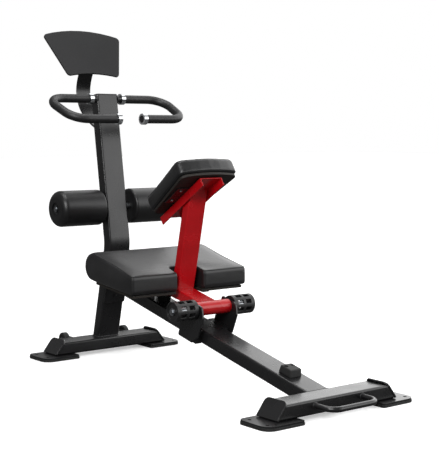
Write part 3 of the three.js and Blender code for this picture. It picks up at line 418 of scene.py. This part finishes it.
def step_end(piece, direction, steps):
    """Insets and pushes the end face that looks along direction, for (inset, push) pairs."""
    direction = Vector(direction).normalized()
    edit(piece)
    reach = max(direction.dot(v.co) for v in piece.data.vertices)
    pick_faces(piece, lambda c, n: n.dot(direction) > 0.99 and reach - c.dot(direction) < 0.1 * MM)
    for inset, push in steps:
        if inset:
            bpy.ops.mesh.inset(thickness=inset, use_boundary=True, use_even_offset=True)
        if push:
            bpy.ops.mesh.extrude_region_move(
                TRANSFORM_OT_translate={"value": direction * push})
    bpy.ops.object.mode_set(mode="OBJECT")
    return piece


def bevel_rim(piece, direction, radius, segments, centre):
    """Rounds the outer rim of a cylinder's end that looks along direction."""
    direction = Vector(direction).normalized()
    reach = max(direction.dot(v.co) for v in piece.data.vertices)
    outer = max((v.co - centre - direction * direction.dot(v.co - centre)).length
                for v in piece.data.vertices)

    def on_rim(point):
        across = point - centre
        across -= direction * direction.dot(across)
        return reach - direction.dot(point) < 0.05 * MM and outer - across.length < 0.05 * MM

    edit(piece, "EDGE")
    pick_edges(piece, lambda a, b: on_rim(a) and on_rim(b))
    bpy.ops.mesh.bevel(offset=radius, segments=segments, profile=0.5, affect="EDGES")
    bpy.ops.object.mode_set(mode="OBJECT")
    return piece


def mirrored(piece):
    """A copy of a piece on the other side of the middle plane."""
    activate(piece)
    bpy.ops.object.duplicate()
    other = bpy.context.object
    other.scale.x = -1
    settle(other)
    return clean(other)


def finish_pair(piece, name, material, slot, body="frame", node=None, angle=50):
    """Finishes a right-hand piece and its mirror image; {} in body takes the side's name."""
    left = mirrored(piece)
    smooth(left, angle)
    for made, side in ((piece, "right"), (left, "left")):
        stands_for = [f"{node}_{side}"] if node else []
        finish(made, f"{name}_{side}", material, slot, body.format(side), stands_for)
    return piece, left


def carve(piece, cutter):
    """Takes a cutter's shape out of a piece and deletes the cutter."""
    modifier = piece.modifiers.new("carve", "BOOLEAN")
    modifier.operation = "DIFFERENCE"
    modifier.object = cutter
    modifier.solver = "EXACT"
    apply_modifiers(piece)
    bpy.data.objects.remove(cutter)
    return piece


# ------------------------------------------------------------------ CAD pieces with rounded edges

def refined(node, width, material, slot, body="frame", segments=2, angle=50):
    """A copy of a CAD solid with its doubles merged, flats joined and sharp edges rounded."""
    piece = bpy.data.objects.new(node + "_body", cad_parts[node].data.copy())
    bpy.context.scene.collection.objects.link(piece)
    edit(piece, "VERT")
    bpy.ops.mesh.select_all(action="SELECT")
    bpy.ops.mesh.remove_doubles(threshold=0.01 * MM)
    bpy.ops.mesh.dissolve_limited(angle_limit=math.radians(0.5))
    bpy.ops.object.mode_set(mode="OBJECT")
    soften(piece, width, segments, angle)
    smooth(piece)
    return finish(piece, node + "_body", material, slot, body, [node])


def coat_solid(node, material):
    """Gives a CAD solid that is shown as it is its finish."""
    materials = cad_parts[node].data.materials
    materials.clear()
    materials.append(material)


def both(pattern):
    return [pattern + "_right", pattern + "_left"]


def make_frame():
    for end in ("rear", "front"):
        refined(f"{end}_foot_tube", 1.2 * MM, BLACK_COAT, "black_powder_coat")
        for node in both(f"{end}_end_plate"):
            refined(node, 1.6 * MM, BLACK_COAT, "black_powder_coat", segments=3)
        for node in both(f"{end}_foot_plate"):
            refined(node, 1.4 * MM, BLACK_COAT, "black_powder_coat", segments=3)
        for node in both(f"{end}_foot_rubber"):
            refined(node, 1.5 * MM, SOLE, "black_rubber", segments=3)
    refined("column", 1.0 * MM, BLACK_COAT, "black_powder_coat", angle=60)
    refined("column_cap", 1.5 * MM, NYLON, "black_plastic", segments=3)
    refined("main_beam", 1.0 * MM, BLACK_COAT, "black_powder_coat", angle=60)
    refined("beam_flange", 1.2 * MM, BLACK_COAT, "black_powder_coat", segments=3)
    refined("pad_riser", 1.0 * MM, BLACK_COAT, "black_powder_coat")
    refined("neck_strip", 1.2 * MM, BLACK_COAT, "black_powder_coat")
    for node in both("pad_rail"):
        refined(node, 1.0 * MM, BLACK_COAT, "black_powder_coat")
    for node in both("pivot_tower"):
        refined(node, 1.2 * MM, BLACK_COAT, "black_powder_coat", segments=3)
    for node in both("wheel_bracket"):
        refined(node, 0.8 * MM, BLACK_COAT, "black_powder_coat")
    refined("knee_pad_board", 1.0 * MM, PLY, "plywood")
    refined("instruction_board", 1.6 * MM, LAMINATE, "board_laminate", segments=3)
    refined("rest_buffer", 2.5 * MM, SOLE, "black_rubber", segments=3)
    for node in ("arm_foot_bar", "arm_post"):
        refined(node, 0.8 * MM, RED_COAT, "red_powder_coat", "arm", angle=60)
    refined("saddle_channel", 1.0 * MM, RED_COAT, "red_powder_coat", "arm")
    refined("saddle_plate", 1.0 * MM, BLACK_COAT, "black_powder_coat", "arm")
    refined("saddle_board", 1.0 * MM, PLY, "plywood", "arm")
    for node in ("pivot_shaft", "roller_shaft"):
        coat_solid(node, STEEL)
    for node in both("pivot_bush"):
        coat_solid(node, BRONZE)



# ------------------------------------------------------------------ leg rollers

def make_rollers():
    low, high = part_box("roller_foam_right")
    hub_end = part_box("roller_hub_right")[1].x
    centre = (low + high) / 2
    foam = cylinder(centre, ROLLER_RADIUS, high.x - low.x, X, 72)
    bevel_rim(foam, X, ROLLER_OUTER_ROUND, 10, centre)
    bevel_rim(foam, -X, ROLLER_INNER_ROUND, 6, centre)
    # outside: a raised ring, then the recess for the hub; inside: a step down to the bore
    step_end(foam, X, [(18 * MM, 0), (1.2 * MM, 0.8 * MM), (1.2 * MM, -0.8 * MM), (1 * MM, -9 * MM)])
    step_end(foam, -X, [(39 * MM, 0), (3 * MM, -3 * MM), (0, -20 * MM)])
    clean(foam)
    smooth(foam, 50)
    axle = Vector((hub_end, centre.y, centre.z))
    hub = cylinder(axle - X * 2.5 * MM, 26.5 * MM, 5 * MM, X, 48)
    step_end(hub, X, [(4 * MM, 0), (1 * MM, -1.5 * MM), (5 * MM, 0), (1.5 * MM, 1.5 * MM)])
    soften(hub, 0.5 * MM)
    smooth(hub)
    core = cylinder(Vector(((low.x + hub_end) / 2 - 3 * MM, centre.y, centre.z)),
                    ROLLER_CORE, hub_end - low.x - 8 * MM, X, 40)
    step_end(core, -X, [(3 * MM, 0), (0, -6 * MM)])
    soften(core, 0.5 * MM)
    smooth(core)
    bolt = hex_bolt(axle + X * 1.0 * MM, X, 9 * MM, 4.5 * MM, 12 * MM)
    sleeves = finish_pair(foam, "roller_foam_sleeve", FOAM, "foam_rubber", "roller_{}", "roller_foam")
    finish_pair(hub, "roller_end_cap", NYLON, "black_plastic", "roller_{}", "roller_hub")
    finish_pair(core, "roller_core", NYLON, "black_plastic", "roller_{}")
    finish_pair(bolt, "roller_bolt", STEEL, "steel")


def hex_bolt(centre, direction, radius, height, washer=None):
    """A hexagon head standing on a point, with a washer face and a rounded crown."""
    direction = Vector(direction).normalized()
    head = cylinder(centre + direction * (height / 2), radius, height, direction, 6)
    step_end(head, direction, [(radius * 0.14, height * 0.1)])
    soften(head, radius * 0.05, 2, 20)
    smooth(head)
    if washer:
        disk = cylinder(centre + direction * 0.75 * MM, washer, 1.5 * MM, direction, 32)
        soften(disk, 0.3 * MM)
        smooth(disk)
        activate(head)
        disk.select_set(True)
        bpy.ops.object.join()
    return head


# ------------------------------------------------------------------ bent tubes

def bent_tube(corners, radius, bend, sides=32, steps=12):
    """A round bar drawn through corners: straight runs are extruded, bends are spun."""
    corners = [Vector(c) for c in corners]
    first = (corners[1] - corners[0]).normalized()
    deselect()
    bpy.ops.mesh.primitive_circle_add(
        vertices=sides, radius=radius, location=corners[0], rotation=turned_to(first),
        fill_type="NGON")
    tube = settle(bpy.context.object)
    edit(tube, "EDGE")
    bpy.ops.mesh.select_all(action="SELECT")
    here = corners[0]
    for i in range(1, len(corners)):
        arriving = (corners[i] - here).normalized()
        last = i == len(corners) - 1
        if last:
            reach = 0
        else:
            leaving = (corners[i + 1] - corners[i]).normalized()
            turn = arriving.angle(leaving)
            reach = bend * math.tan(turn / 2)
        stop = corners[i] - arriving * reach
        bpy.ops.mesh.extrude_region_move(TRANSFORM_OT_translate={"value": stop - here})
        here = stop
        if not last:
            axis = arriving.cross(leaving).normalized()
            centre = stop + axis.cross(arriving) * bend
            bpy.ops.mesh.spin(steps=steps, angle=-turn, center=centre, axis=axis)
            here = corners[i] + leaving * reach
    bpy.ops.mesh.edge_face_add()
    bpy.ops.object.mode_set(mode="OBJECT")
    return clean(tube)


def make_handlebars():
    root_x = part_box("handlebar_right")[0].x
    front_low, front_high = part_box("front_collar_right")
    back_middle = middle("back_collar_right")
    front_middle = middle("front_collar_right")
    bar_down = Vector((0, -math.cos(BAR_DROP), -math.sin(BAR_DROP)))
    root = Vector((root_x, back_middle.y, back_middle.z))
    front = root + bar_down * (front_middle - back_middle).dot(bar_down)
    back_corner = Vector((BAR_BACK_CORNER, root.y, root.z))
    front_corner = Vector((BAR_FRONT_CORNER, front.y, front.z))
    bar = bent_tube([root, back_corner, front_corner, Vector((front_low.x, front.y, front.z))],
                    BAR_RADIUS, BAR_BEND, 32, 14)
    step_end(bar, -X, [(2.2 * MM, 0), (0, -40 * MM)])
    clean(bar)
    smooth(bar, 40)
    grip_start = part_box("back_collar_right")[1].x + 0.3 * MM
    grip_end = front_high.x + 0.3 * MM
    grip = bent_tube([Vector((grip_start, root.y, root.z)), back_corner, front_corner,
                      Vector((grip_end, front.y, front.z))], GRIP_RADIUS, BAR_BEND, 36, 16)
    soften(grip, 1.2 * MM, 3, 60)
    smooth(grip, 50)
    back_ring = collar(back_middle, X)
    front_ring = collar(front_middle, X)
    back_screw = grub_screw(back_middle, bar_down)
    front_screw = grub_screw(front_middle, bar_down)
    finish_pair(bar, "handlebar_tube", BLACK_COAT, "black_powder_coat", node="handlebar")
    finish_pair(grip, "grip_sleeve", GRIP, "black_rubber", node="grip")
    finish_pair(back_ring, "back_collar_ring", CHROME, "chrome", node="back_collar")
    finish_pair(front_ring, "front_collar_ring", CHROME, "chrome", node="front_collar")
    finish_pair(back_screw, "back_collar_screw", STEEL, "steel")
    finish_pair(front_screw, "front_collar_screw", STEEL, "steel")


def collar(centre, outward):
    """A chrome clamp cup with a thin flared lip and a deep mouth towards the middle."""
    lip = 0.01 * MM
    ring = cylinder(centre, COLLAR_CUP, COLLAR_LENGTH, outward, 56)
    mouth = min(v.co.x for v in ring.data.vertices)
    step_end(ring, -outward, [(-COLLAR_FLANGE, 0), (0, lip)])
    step_end(ring, -outward, [(0, lip), (7.6 * MM, 0), (0.8 * MM, -1 * MM), (0, -9 * MM)])
    clean(ring)
    for vertex in ring.data.vertices:
        if vertex.co.x < mouth - lip / 2:
            vertex.co.x = mouth
    soften(ring, 0.9 * MM, 3, 30)
    return smooth(ring, 50)


def grub_screw(centre, direction):
    """A socket screw head standing a little out of the collar."""
    at = Vector(centre) + Vector(direction) * 21.5 * MM
    screw = cylinder(at, 3 * MM, 3 * MM, direction, 20)
    step_end(screw, direction, [(1.2 * MM, 0), (0, -1.8 * MM)])
    soften(screw, 0.2 * MM)
    return smooth(screw)


def make_lift_handle():
    low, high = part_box("lift_handle")
    front = low.y + LIFT_BAR
    half = high.x - LIFT_BAR
    rear_z = high.z - LIFT_BAR - 0.6 * MM
    front_z = low.z + LIFT_BAR
    corners = [
        Vector((-half, high.y, rear_z)), Vector((-half, front, front_z)),
        Vector((half, front, front_z)), Vector((half, high.y, rear_z)),
    ]
    handle = bent_tube(corners, LIFT_BAR, LIFT_BEND, 28, 12)
    smooth(handle, 50)
    finish(handle, "lift_handle_bar", BLACK_COAT, "black_powder_coat", "frame", ["lift_handle"])


# ------------------------------------------------------------------ pivot, pegs and wheels

def make_cross_tube():
    low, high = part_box("cross_tube")
    centre = (low + high) / 2
    tube = cylinder(centre, (high.z - low.z) / 2, high.x - low.x, X, 64)
    for side in (X, -X):
        step_end(tube, side, [(3 * MM, 0), (0, -8 * MM)])
    clean(tube)
    soften(tube, 0.6 * MM, 2, 50)
    smooth(tube)
    finish(tube, "cross_tube_body", RED_COAT, "red_powder_coat", "arm", ["cross_tube"])


def make_pegs():
    low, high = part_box("foot_peg_right")
    centre = (low + high) / 2
    length = high.x - low.x
    shell = cylinder(centre, PEG_RADIUS, length, X, 64)
    step_end(shell, X, [(PEG_WALL, 0), (0, -4 * MM), (17 * MM, 0), (1 * MM, 3 * MM)])
    step_end(shell, -X, [(PEG_WALL, 0), (0, -4 * MM)])
    clean(shell)
    soften(shell, 1.5 * MM, 3, 60)
    carve(shell, peg_slots(centre, low.x, length))
    soften(shell, 0.5 * MM, 1, 60)
    smooth(shell)
    bolt = hex_bolt(Vector((high.x - 0.5 * MM, centre.y, centre.z)), X, 10 * MM, 6 * MM, 14 * MM)
    finish_pair(shell, "foot_peg_cage", NYLON, "black_plastic", "peg_{}", "foot_peg", 35)
    finish_pair(bolt, "foot_peg_bolt", STEEL, "steel", angle=35)


def peg_slots(centre, start, length):
    """The cutters of a peg's windows, in two rows round the shell, and the hollow inside."""
    window = (length - 2 * PEG_WALL - 3 * PEG_RIB) / 2
    cutters = []
    for i in range(PEG_SLOTS):
        angle = (i + 0.5) * math.tau / PEG_SLOTS
        out = Vector((0, -math.sin(angle), math.cos(angle)))
        for row in range(2):
            x = start + PEG_WALL + PEG_RIB + row * (window + PEG_RIB) + window / 2
            at = Vector((x, centre.y, centre.z)) + out * (PEG_RADIUS - 4 * MM)
            opening = block(at, (window, PEG_WINDOW, 18 * MM), (angle, 0, 0))
            cutters.append(soften(opening, 2.5 * MM, 3, 30))
    hollow_length = length - 2 * PEG_WALL - 2 * MM
    cutters.append(cylinder(centre, PEG_RADIUS - PEG_WALL, hollow_length, X, 64))
    joined = cutters[0]
    for other in cutters[1:]:
        modifier = joined.modifiers.new("add", "BOOLEAN")
        modifier.operation = "UNION"
        modifier.object = other
        modifier.solver = "EXACT"
        apply_modifiers(joined)
        bpy.data.objects.remove(other)
    return joined


def make_wheels():
    low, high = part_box("wheel_right")
    centre = (low + high) / 2
    tyre = cylinder(centre, WHEEL_RADIUS, high.x - low.x, X, 48)
    bevel_rim(tyre, X, 5 * MM, 4, centre)
    bevel_rim(tyre, -X, 5 * MM, 4, centre)
    for side in (X, -X):
        step_end(tyre, side, [(4 * MM, 0), (1.5 * MM, -3 * MM), (9 * MM, 0), (0.8 * MM, 2 * MM)])
    clean(tyre)
    soften(tyre, 0.5 * MM)
    smooth(tyre, 50)
    nut = hex_bolt(Vector((high.x + 1 * MM, centre.y, centre.z)), X, 8 * MM, 4 * MM, 9 * MM)
    finish_pair(tyre, "wheel_tyre", SOLE, "black_rubber", "wheel_{}", "wheel")
    finish_pair(nut, "wheel_nut", STEEL, "steel")



# ------------------------------------------------------------------ stop block and fasteners

def make_stop_block():
    low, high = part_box("front_stop_block")
    centre = (low + high) / 2
    stop = block(centre, (high.x - low.x, STOP_DEPTH, STOP_HEIGHT), (BEAM_SLOPE, 0, 0))
    top = centre + OFF_BEAM * (STOP_HEIGHT / 2)
    edit(stop)
    pick_faces(stop, lambda c, n: n.dot(OFF_BEAM) > 0.9)
    bpy.ops.transform.resize(value=(0.94, 0.82, 0.82), center_override=top)
    bpy.ops.object.mode_set(mode="OBJECT")
    soften(stop, 4.5 * MM, 4, 30)
    for side, name in ((1, "right"), (-1, "left")):
        place = top + ALONG_BEAM * 9 * MM + X * side * 15 * MM
        carve(stop, cylinder(place - OFF_BEAM * 3 * MM, 8 * MM, 20 * MM, OFF_BEAM, 32))
        socket = cylinder(place - OFF_BEAM * 11.5 * MM, 5.5 * MM, 3 * MM, OFF_BEAM, 24)
        step_end(socket, OFF_BEAM, [(2.6 * MM, 0), (0, -2 * MM)])
        soften(socket, 0.3 * MM)
        smooth(socket)
        finish(socket, f"stop_block_screw_{name}", BLACK_COAT, "black_powder_coat")
    smooth(stop, 40)
    finish(stop, "front_stop_rubber", SOLE, "black_rubber", "frame", ["front_stop_block"])


# ------------------------------------------------------------------ bolts and welds

def bolt_on(node, start, direction, name, head, coat=(STEEL, "steel"), body="frame"):
    """A hexagon bolt where a line from start along direction first meets a CAD solid."""
    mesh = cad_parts[node].data
    tree = BVHTree.FromPolygons([v.co for v in mesh.vertices], [p.vertices for p in mesh.polygons])
    place, normal, _, _ = tree.ray_cast(Vector(start), Vector(direction))
    bolt = hex_bolt(place, normal, *head)
    return finish(bolt, name, *coat, body)


def make_bolts():
    """Every line starts well outside the piece that it bolts."""
    dark = (BLACK_COAT, "black_powder_coat")
    bolt_on("beam_flange", (0, 0.3, 0.238), Y, "flange_bolt", FLANGE_BOLT, dark)
    for side, name in ((1, "right"), (-1, "left")):
        for number, y in enumerate(RISER_BOLTS_Y):
            bolt_on("pad_riser", (side * 0.3, y, RISER_BOLTS_Z), -side * X,
                    f"riser_bolt_{name}_{number}", FRAME_BOLT)
        for number, y in enumerate(RAIL_SCREWS_Y):
            bolt_on(f"pad_rail_{name}", (side * RAIL_SCREWS_X, y, 0.1), Z,
                    f"rail_screw_{name}_{number}", PLATE_SCREW, dark)
        plate = middle("saddle_plate") + side * SADDLE_SCREWS_X * X - OFF_SEAT * 0.2
        for number, along in enumerate((-34 * MM, 34 * MM)):
            bolt_on("saddle_plate", plate + DOWN_SEAT * along, OFF_SEAT,
                    f"saddle_screw_{name}_{number}", PLATE_SCREW, body="arm")
    facing, _ = highest_plane("instruction_board", Vector((0, -0.87, 0.49)))
    behind_board = middle("instruction_board") - facing * 0.2 - facing.cross(X) * 12 * MM
    for number, x in enumerate((-18 * MM, 18 * MM)):
        bolt_on("neck_strip", (x, 1.2, 0.96), -Y, f"neck_bolt_{number}", FRAME_BOLT, dark)
        bolt_on("neck_strip", behind_board + X * x, facing, f"board_bolt_{number}", BOARD_SCREW, dark)


def weld(corners, radius, bend, name):
    """A bead laid along a joint, half sunk in both pieces."""
    bead = bent_tube(corners, radius, bend, 10, 4)
    smooth(bead, 60)
    return finish(bead, name, WELD, "black_powder_coat")


def weld_round(centre, radius, axis, bead_radius, name):
    """A bead round a tube's root: a small circle spun about the tube's axis."""
    axis = Vector(axis).normalized()
    out = axis.orthogonal().normalized()
    deselect()
    bpy.ops.mesh.primitive_circle_add(vertices=10, radius=bead_radius, location=centre + out * radius,
                                      rotation=turned_to(axis.cross(out)))
    bead = settle(bpy.context.object)
    edit(bead, "EDGE")
    bpy.ops.mesh.select_all(action="SELECT")
    bpy.ops.mesh.spin(steps=32, angle=math.tau, center=centre, axis=axis)
    bpy.ops.object.mode_set(mode="OBJECT")
    clean(bead)
    smooth(bead, 60)
    return finish(bead, name, WELD, "black_powder_coat")


def make_welds():
    foot_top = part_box("rear_foot_tube")[1].z
    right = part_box("column")[1].x
    root = [v.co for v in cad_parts["column"].data.vertices if v.co.z < foot_top + 2 * MM]
    front, rear = min(v.y for v in root), max(v.y for v in root)
    z = foot_top + 0.6 * MM
    weld([Vector((0, front, z)), Vector((right, front, z)), Vector((right, rear, z)),
          Vector((-right, rear, z)), Vector((-right, front, z)), Vector((0, front, z))],
         3 * MM, 8 * MM, "column_foot_weld")

    beam = [v.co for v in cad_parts["main_beam"].data.vertices]
    beam_start = min(v.y for v in beam)
    front_end = [v for v in beam if v.y < beam_start + 1 * MM]
    rear_end = [v for v in beam if v.y > 0.4]
    front_base = Vector((0, beam_start, 18 * MM))
    rear_base = min(rear_end, key=lambda v: v.z)
    for name, end, base in (("front", front_end, front_base), ("rear", rear_end, rear_base)):
        top = max(end, key=lambda v: v.z)
        weld([Vector((-right, base.y, base.z)), Vector((-right, top.y, top.z)),
              Vector((right, top.y, top.z)), Vector((right, base.y, base.z))],
             2.8 * MM, 8 * MM, f"beam_{name}_weld")
    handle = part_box("lift_handle")[1]
    for side, name in ((1, "right"), (-1, "left")):
        root = middle(f"back_collar_{name}")
        root.x = side * (right + 0.8 * MM)
        weld_round(root, BAR_RADIUS + 0.6 * MM, X, 2.6 * MM, f"handlebar_weld_{name}")
        root = Vector((side * (handle.x - LIFT_BAR), handle.y - 0.8 * MM,
                       handle.z - LIFT_BAR - 0.6 * MM))
        weld_round(root, LIFT_BAR + 0.4 * MM, Y, 2.2 * MM, f"lift_handle_weld_{name}")


# ------------------------------------------------------------------ upholstery

def shrunk(node, amount):
    """A copy of a CAD soft solid, moved in by amount along its merged normals."""
    piece = bpy.data.objects.new(node + "_cover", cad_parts[node].data.copy())
    bpy.context.scene.collection.objects.link(piece)
    clean(piece)
    modifier = piece.modifiers.new("in", "DISPLACE")
    modifier.mid_level = 0
    modifier.strength = -amount
    return apply_modifiers(piece)


def inflate(piece, voxel, pressure, cap, held):
    """Swells a padded piece by cloth pressure, moving no point further than cap.

    The points for which held(point) is true stay on the board under the foam.
    """
    remesh = piece.modifiers.new("voxels", "REMESH")
    remesh.mode = "VOXEL"
    remesh.voxel_size = voxel
    apply_modifiers(piece)
    before = [v.co.copy() for v in piece.data.vertices]
    group = piece.vertex_groups.new(name="held")
    group.add([i for i, point in enumerate(before) if held(point)], 1.0, "REPLACE")
    cloth = piece.modifiers.new("swell", "CLOTH")
    cloth.settings.quality = 5
    cloth.settings.mass = 0.4
    cloth.settings.tension_stiffness = 25
    cloth.settings.compression_stiffness = 25
    cloth.settings.shear_stiffness = 15
    cloth.settings.bending_stiffness = 15.0
    cloth.settings.use_pressure = True
    cloth.settings.uniform_pressure_force = pressure
    cloth.settings.effector_weights.gravity = 0
    cloth.settings.vertex_group_mass = group.name
    cloth.collision_settings.use_collision = False
    cloth.collision_settings.use_self_collision = False
    cloth.point_cache.frame_start = 1
    cloth.point_cache.frame_end = 20
    for number in range(1, 21):
        bpy.context.scene.frame_set(number)
    apply_modifiers(piece)
    bpy.context.scene.frame_set(1)
    piece.vertex_groups.clear()
    shifts = []
    for vertex, start in zip(piece.data.vertices, before):
        shift = vertex.co - start
        shifts.append(shift * min(1, cap / max(shift.length, 1e-9)))
    for vertex, start, shift in zip(piece.data.vertices, before, evened(piece, shifts, 40)):
        vertex.co = start + shift


def evened(piece, shifts, rounds):
    """Averages each point's shift with its neighbours', so that no wrinkle is left."""
    beside = [[] for _ in shifts]
    for edge in piece.data.edges:
        a, b = edge.vertices
        beside[a].append(b)
        beside[b].append(a)
    for _ in range(rounds):
        shifts = [sum((shifts[i] for i in near), shift) / (len(near) + 1)
                  for shift, near in zip(shifts, beside)]
    return shifts


def subdivide_once(piece):
    modifier = piece.modifiers.new("fine", "SUBSURF")
    modifier.levels = 1
    modifier.render_levels = 1
    return apply_modifiers(piece)


def highest_plane(node, direction):
    """The normal of a CAD solid's largest flat that looks nearly along direction, and its height."""
    flats = {}
    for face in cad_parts[node].data.polygons:
        if face.normal.dot(direction) > 0.9:
            key = tuple(round(v, 3) for v in face.normal)
            flats[key] = flats.get(key, 0) + face.area
    normal = Vector(max(flats, key=flats.get)).normalized()
    return normal, max(normal.dot(v.co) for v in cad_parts[node].data.vertices)


def welt(cover, normal, height, radius, name, body):
    """A piped seam where the cover crosses the plane normal . p = height; the bead is real, its
    near-black colour, darker than the cover, is painted shade of the seam line.
    """
    activate(cover)
    bpy.ops.object.duplicate()
    seam = bpy.context.object
    edit(seam)
    bpy.ops.mesh.select_all(action="SELECT")
    bpy.ops.mesh.bisect(plane_co=normal * height, plane_no=normal, clear_inner=True,
                        clear_outer=True)
    bpy.ops.mesh.select_all(action="SELECT")
    bpy.ops.mesh.remove_doubles(threshold=1.5 * MM)
    bpy.ops.object.mode_set(mode="OBJECT")
    bpy.ops.object.convert(target="CURVE")
    seam = bpy.context.object
    seam.data.bevel_depth = radius
    seam.data.bevel_resolution = 2
    bpy.ops.object.convert(target="MESH")
    seam = bpy.context.object
    clean(seam)
    smooth(seam, 80)
    return finish(seam, name, PIPING_PAINTED_SEAM_SHADE, "black_vinyl", body)


def make_knee_pad():
    up, _ = highest_plane("knee_pad", OFF_BEAM)
    down, bottom = highest_plane("knee_pad_board", -Z)
    board_top = -bottom + PAD_BOARD
    pad = shrunk("knee_pad", 2.0 * MM)
    inflate(pad, 5 * MM, 3.0, 5 * MM, lambda p: -down.dot(p) < board_top + HELD_OVER_BOARD)
    subdivide_once(pad)
    smooth_soft(pad)
    finish(pad, "knee_pad_cover", VINYL, "black_vinyl", "frame", ["knee_pad"])
    reach = max(up.dot(v.co) for v in pad.data.vertices)
    welt(pad, up, reach - WELT_BELOW_TOP, 1.5 * MM, "knee_pad_welt", "frame")


def make_saddle():
    up, _ = highest_plane("saddle_cushion", OFF_SEAT)
    down, bottom = highest_plane("saddle_cushion", -OFF_SEAT)
    seat = shrunk("saddle_cushion", 2.0 * MM)
    inflate(seat, 4 * MM, 3.0, 5 * MM, lambda p: -down.dot(p) < -bottom + HELD_OVER_BOARD)
    subdivide_once(seat)
    smooth_soft(seat)
    finish(seat, "saddle_cover", VINYL, "black_vinyl", "arm", ["saddle_cushion"])
    reach = max(up.dot(v.co) for v in seat.data.vertices)
    welt(seat, up, reach - WELT_BELOW_TOP, 1.5 * MM, "saddle_welt", "arm")
    welt(seat, up, -bottom + 8 * MM, 1.3 * MM, "saddle_lower_welt", "arm")


def smooth_soft(piece):
    """Smooth shading all over, as a stretched cover has no sharp edge."""
    activate(piece)
    bpy.ops.object.shade_smooth()
    return piece


# ------------------------------------------------------------------ stage, light and camera

def softbox(tree, direction, towards, inner, outer, radiance):
    """A patch of bright sky round a direction, fading between two half angles in degrees."""
    facing = add_node(tree, "VectorMath", {0: direction, 1: Vector(towards).normalized()},
                      operation="DOT_PRODUCT").outputs["Value"]
    limits = {"Value": facing, "From Min": math.cos(math.radians(outer)),
              "From Max": math.cos(math.radians(inner)), "To Min": 0.0, "To Max": radiance}
    return add_node(tree, "MapRange", limits, interpolation_type="SMOOTHSTEP").outputs[0]


def make_stage():
    deselect()
    bpy.ops.mesh.primitive_plane_add(size=60, location=(0, 0, 0))
    floor = bpy.context.object
    floor.name = "studio_floor"
    floor.data.materials.append(studio_floor())

    world = bpy.data.worlds.new("studio")
    bpy.context.scene.world = world
    world.use_nodes = True
    tree = world.node_tree
    tree.nodes.clear()
    direction = add_node(tree, "TexCoord").outputs["Generated"]
    # one patch behind the machine's right for the tops, one in front of it for the upright faces
    level = softbox(tree, direction, (0.9, 0.25, 0.36), 24, 44, 2.2)
    front = softbox(tree, direction, (0.66, -0.72, 0.22), 12, 34, 2.6)
    height = add_node(tree, "SeparateXYZ", {"Vector": direction}).outputs["Z"]
    above = add_node(tree, "MapRange", {"Value": height, "From Min": -0.06, "From Max": 0.1,
                                        "To Min": 0.0, "To Max": 1.0}).outputs[0]
    front = add_node(tree, "Math", {0: front, 1: above}, operation="MULTIPLY").outputs[0]
    level = add_node(tree, "Math", {0: level, 1: front}, operation="ADD").outputs[0]
    level = add_node(tree, "Math", {0: level, 1: 0.22}, operation="ADD").outputs[0]
    seen = add_node(tree, "LightPath").outputs["Is Camera Ray"]
    studio = add_node(tree, "Background", {"Color": (1, 1, 1, 1), "Strength": level})
    backdrop = add_node(tree, "Background", {"Color": (1, 1, 1, 1), "Strength": 1.0})
    sky = add_node(tree, "MixShader", {0: seen, 1: studio.outputs[0], 2: backdrop.outputs[0]})
    add_node(tree, "OutputWorld", {"Surface": sky.outputs[0]})


def studio_floor():
    """A white sweep that glows, more so far away, so that shadows stay pale and no horizon shows.

    It is dark to everything but the camera, so that it does not light the black frame from below.
    """
    material, tree, bsdf, place = new_material("white_studio_floor", IOR=1.4, Roughness=0.35)
    bsdf.inputs["Base Color"].default_value = linear("#f0f0f0")
    bsdf.inputs["Specular IOR Level"].default_value = 0.2
    bsdf.inputs["Emission Color"].default_value = (1, 1, 1, 1)
    away = add_node(tree, "VectorMath", {0: place}, operation="LENGTH").outputs["Value"]
    glow = spread(tree, away, 0.43, 0.6, 1.1, 3.2)
    tree.links.new(glow, bsdf.inputs["Emission Strength"])
    dark = add_node(tree, "BsdfDiffuse", {"Color": linear("#5c5c5c")})
    seen = add_node(tree, "LightPath").outputs["Is Camera Ray"]
    mixed = add_node(tree, "MixShader", {0: seen, 1: dark.outputs[0], 2: bsdf.outputs[0]})
    tree.links.new(mixed.outputs[0], tree.nodes["Material Output"].inputs["Surface"])
    return material


def area_light(name, position, target, size, power):
    data = bpy.data.lights.new(name, "AREA")
    data.shape = "RECTANGLE"
    data.size, data.size_y = size
    data.energy = power
    light = bpy.data.objects.new(name, data)
    bpy.context.scene.collection.objects.link(light)
    light.location = position
    light.rotation_euler = (Vector(target) - Vector(position)).to_track_quat("-Z", "Y").to_euler()
    return light


def make_lights():
    """A soft light overhead and a large key from the camera's upper left."""
    area_light("top_softbox", (-0.3, 0.4, 4.2), (0, 0, 0.3), (2.2, 2.2), 90)
    area_light("key_softbox", (-5.0, -3.6, 3.6), (0, 0, 0.5), (3.0, 3.0), 340)


def make_camera():
    """Low and to the left of the front foot, through a long lens."""
    data = bpy.data.cameras.new("camera")
    camera = bpy.data.objects.new("camera", data)
    bpy.context.scene.collection.objects.link(camera)
    camera.location = (-2.591, -3.4007, 0.924)
    camera.rotation_euler = (math.radians(90 - 4.72), 0, math.radians(-38.31))
    data.sensor_fit = "AUTO"
    data.sensor_width = 36
    data.lens = 92.09
    bpy.context.scene.camera = camera


make_camera()
make_frame()
make_rollers()
make_handlebars()
make_lift_handle()
make_cross_tube()
make_pegs()
make_wheels()
make_stop_block()
make_bolts()
make_welds()
make_knee_pad()
make_saddle()
make_stage()
make_lights()
bpy.context.scene.view_settings.view_transform = "Standard"
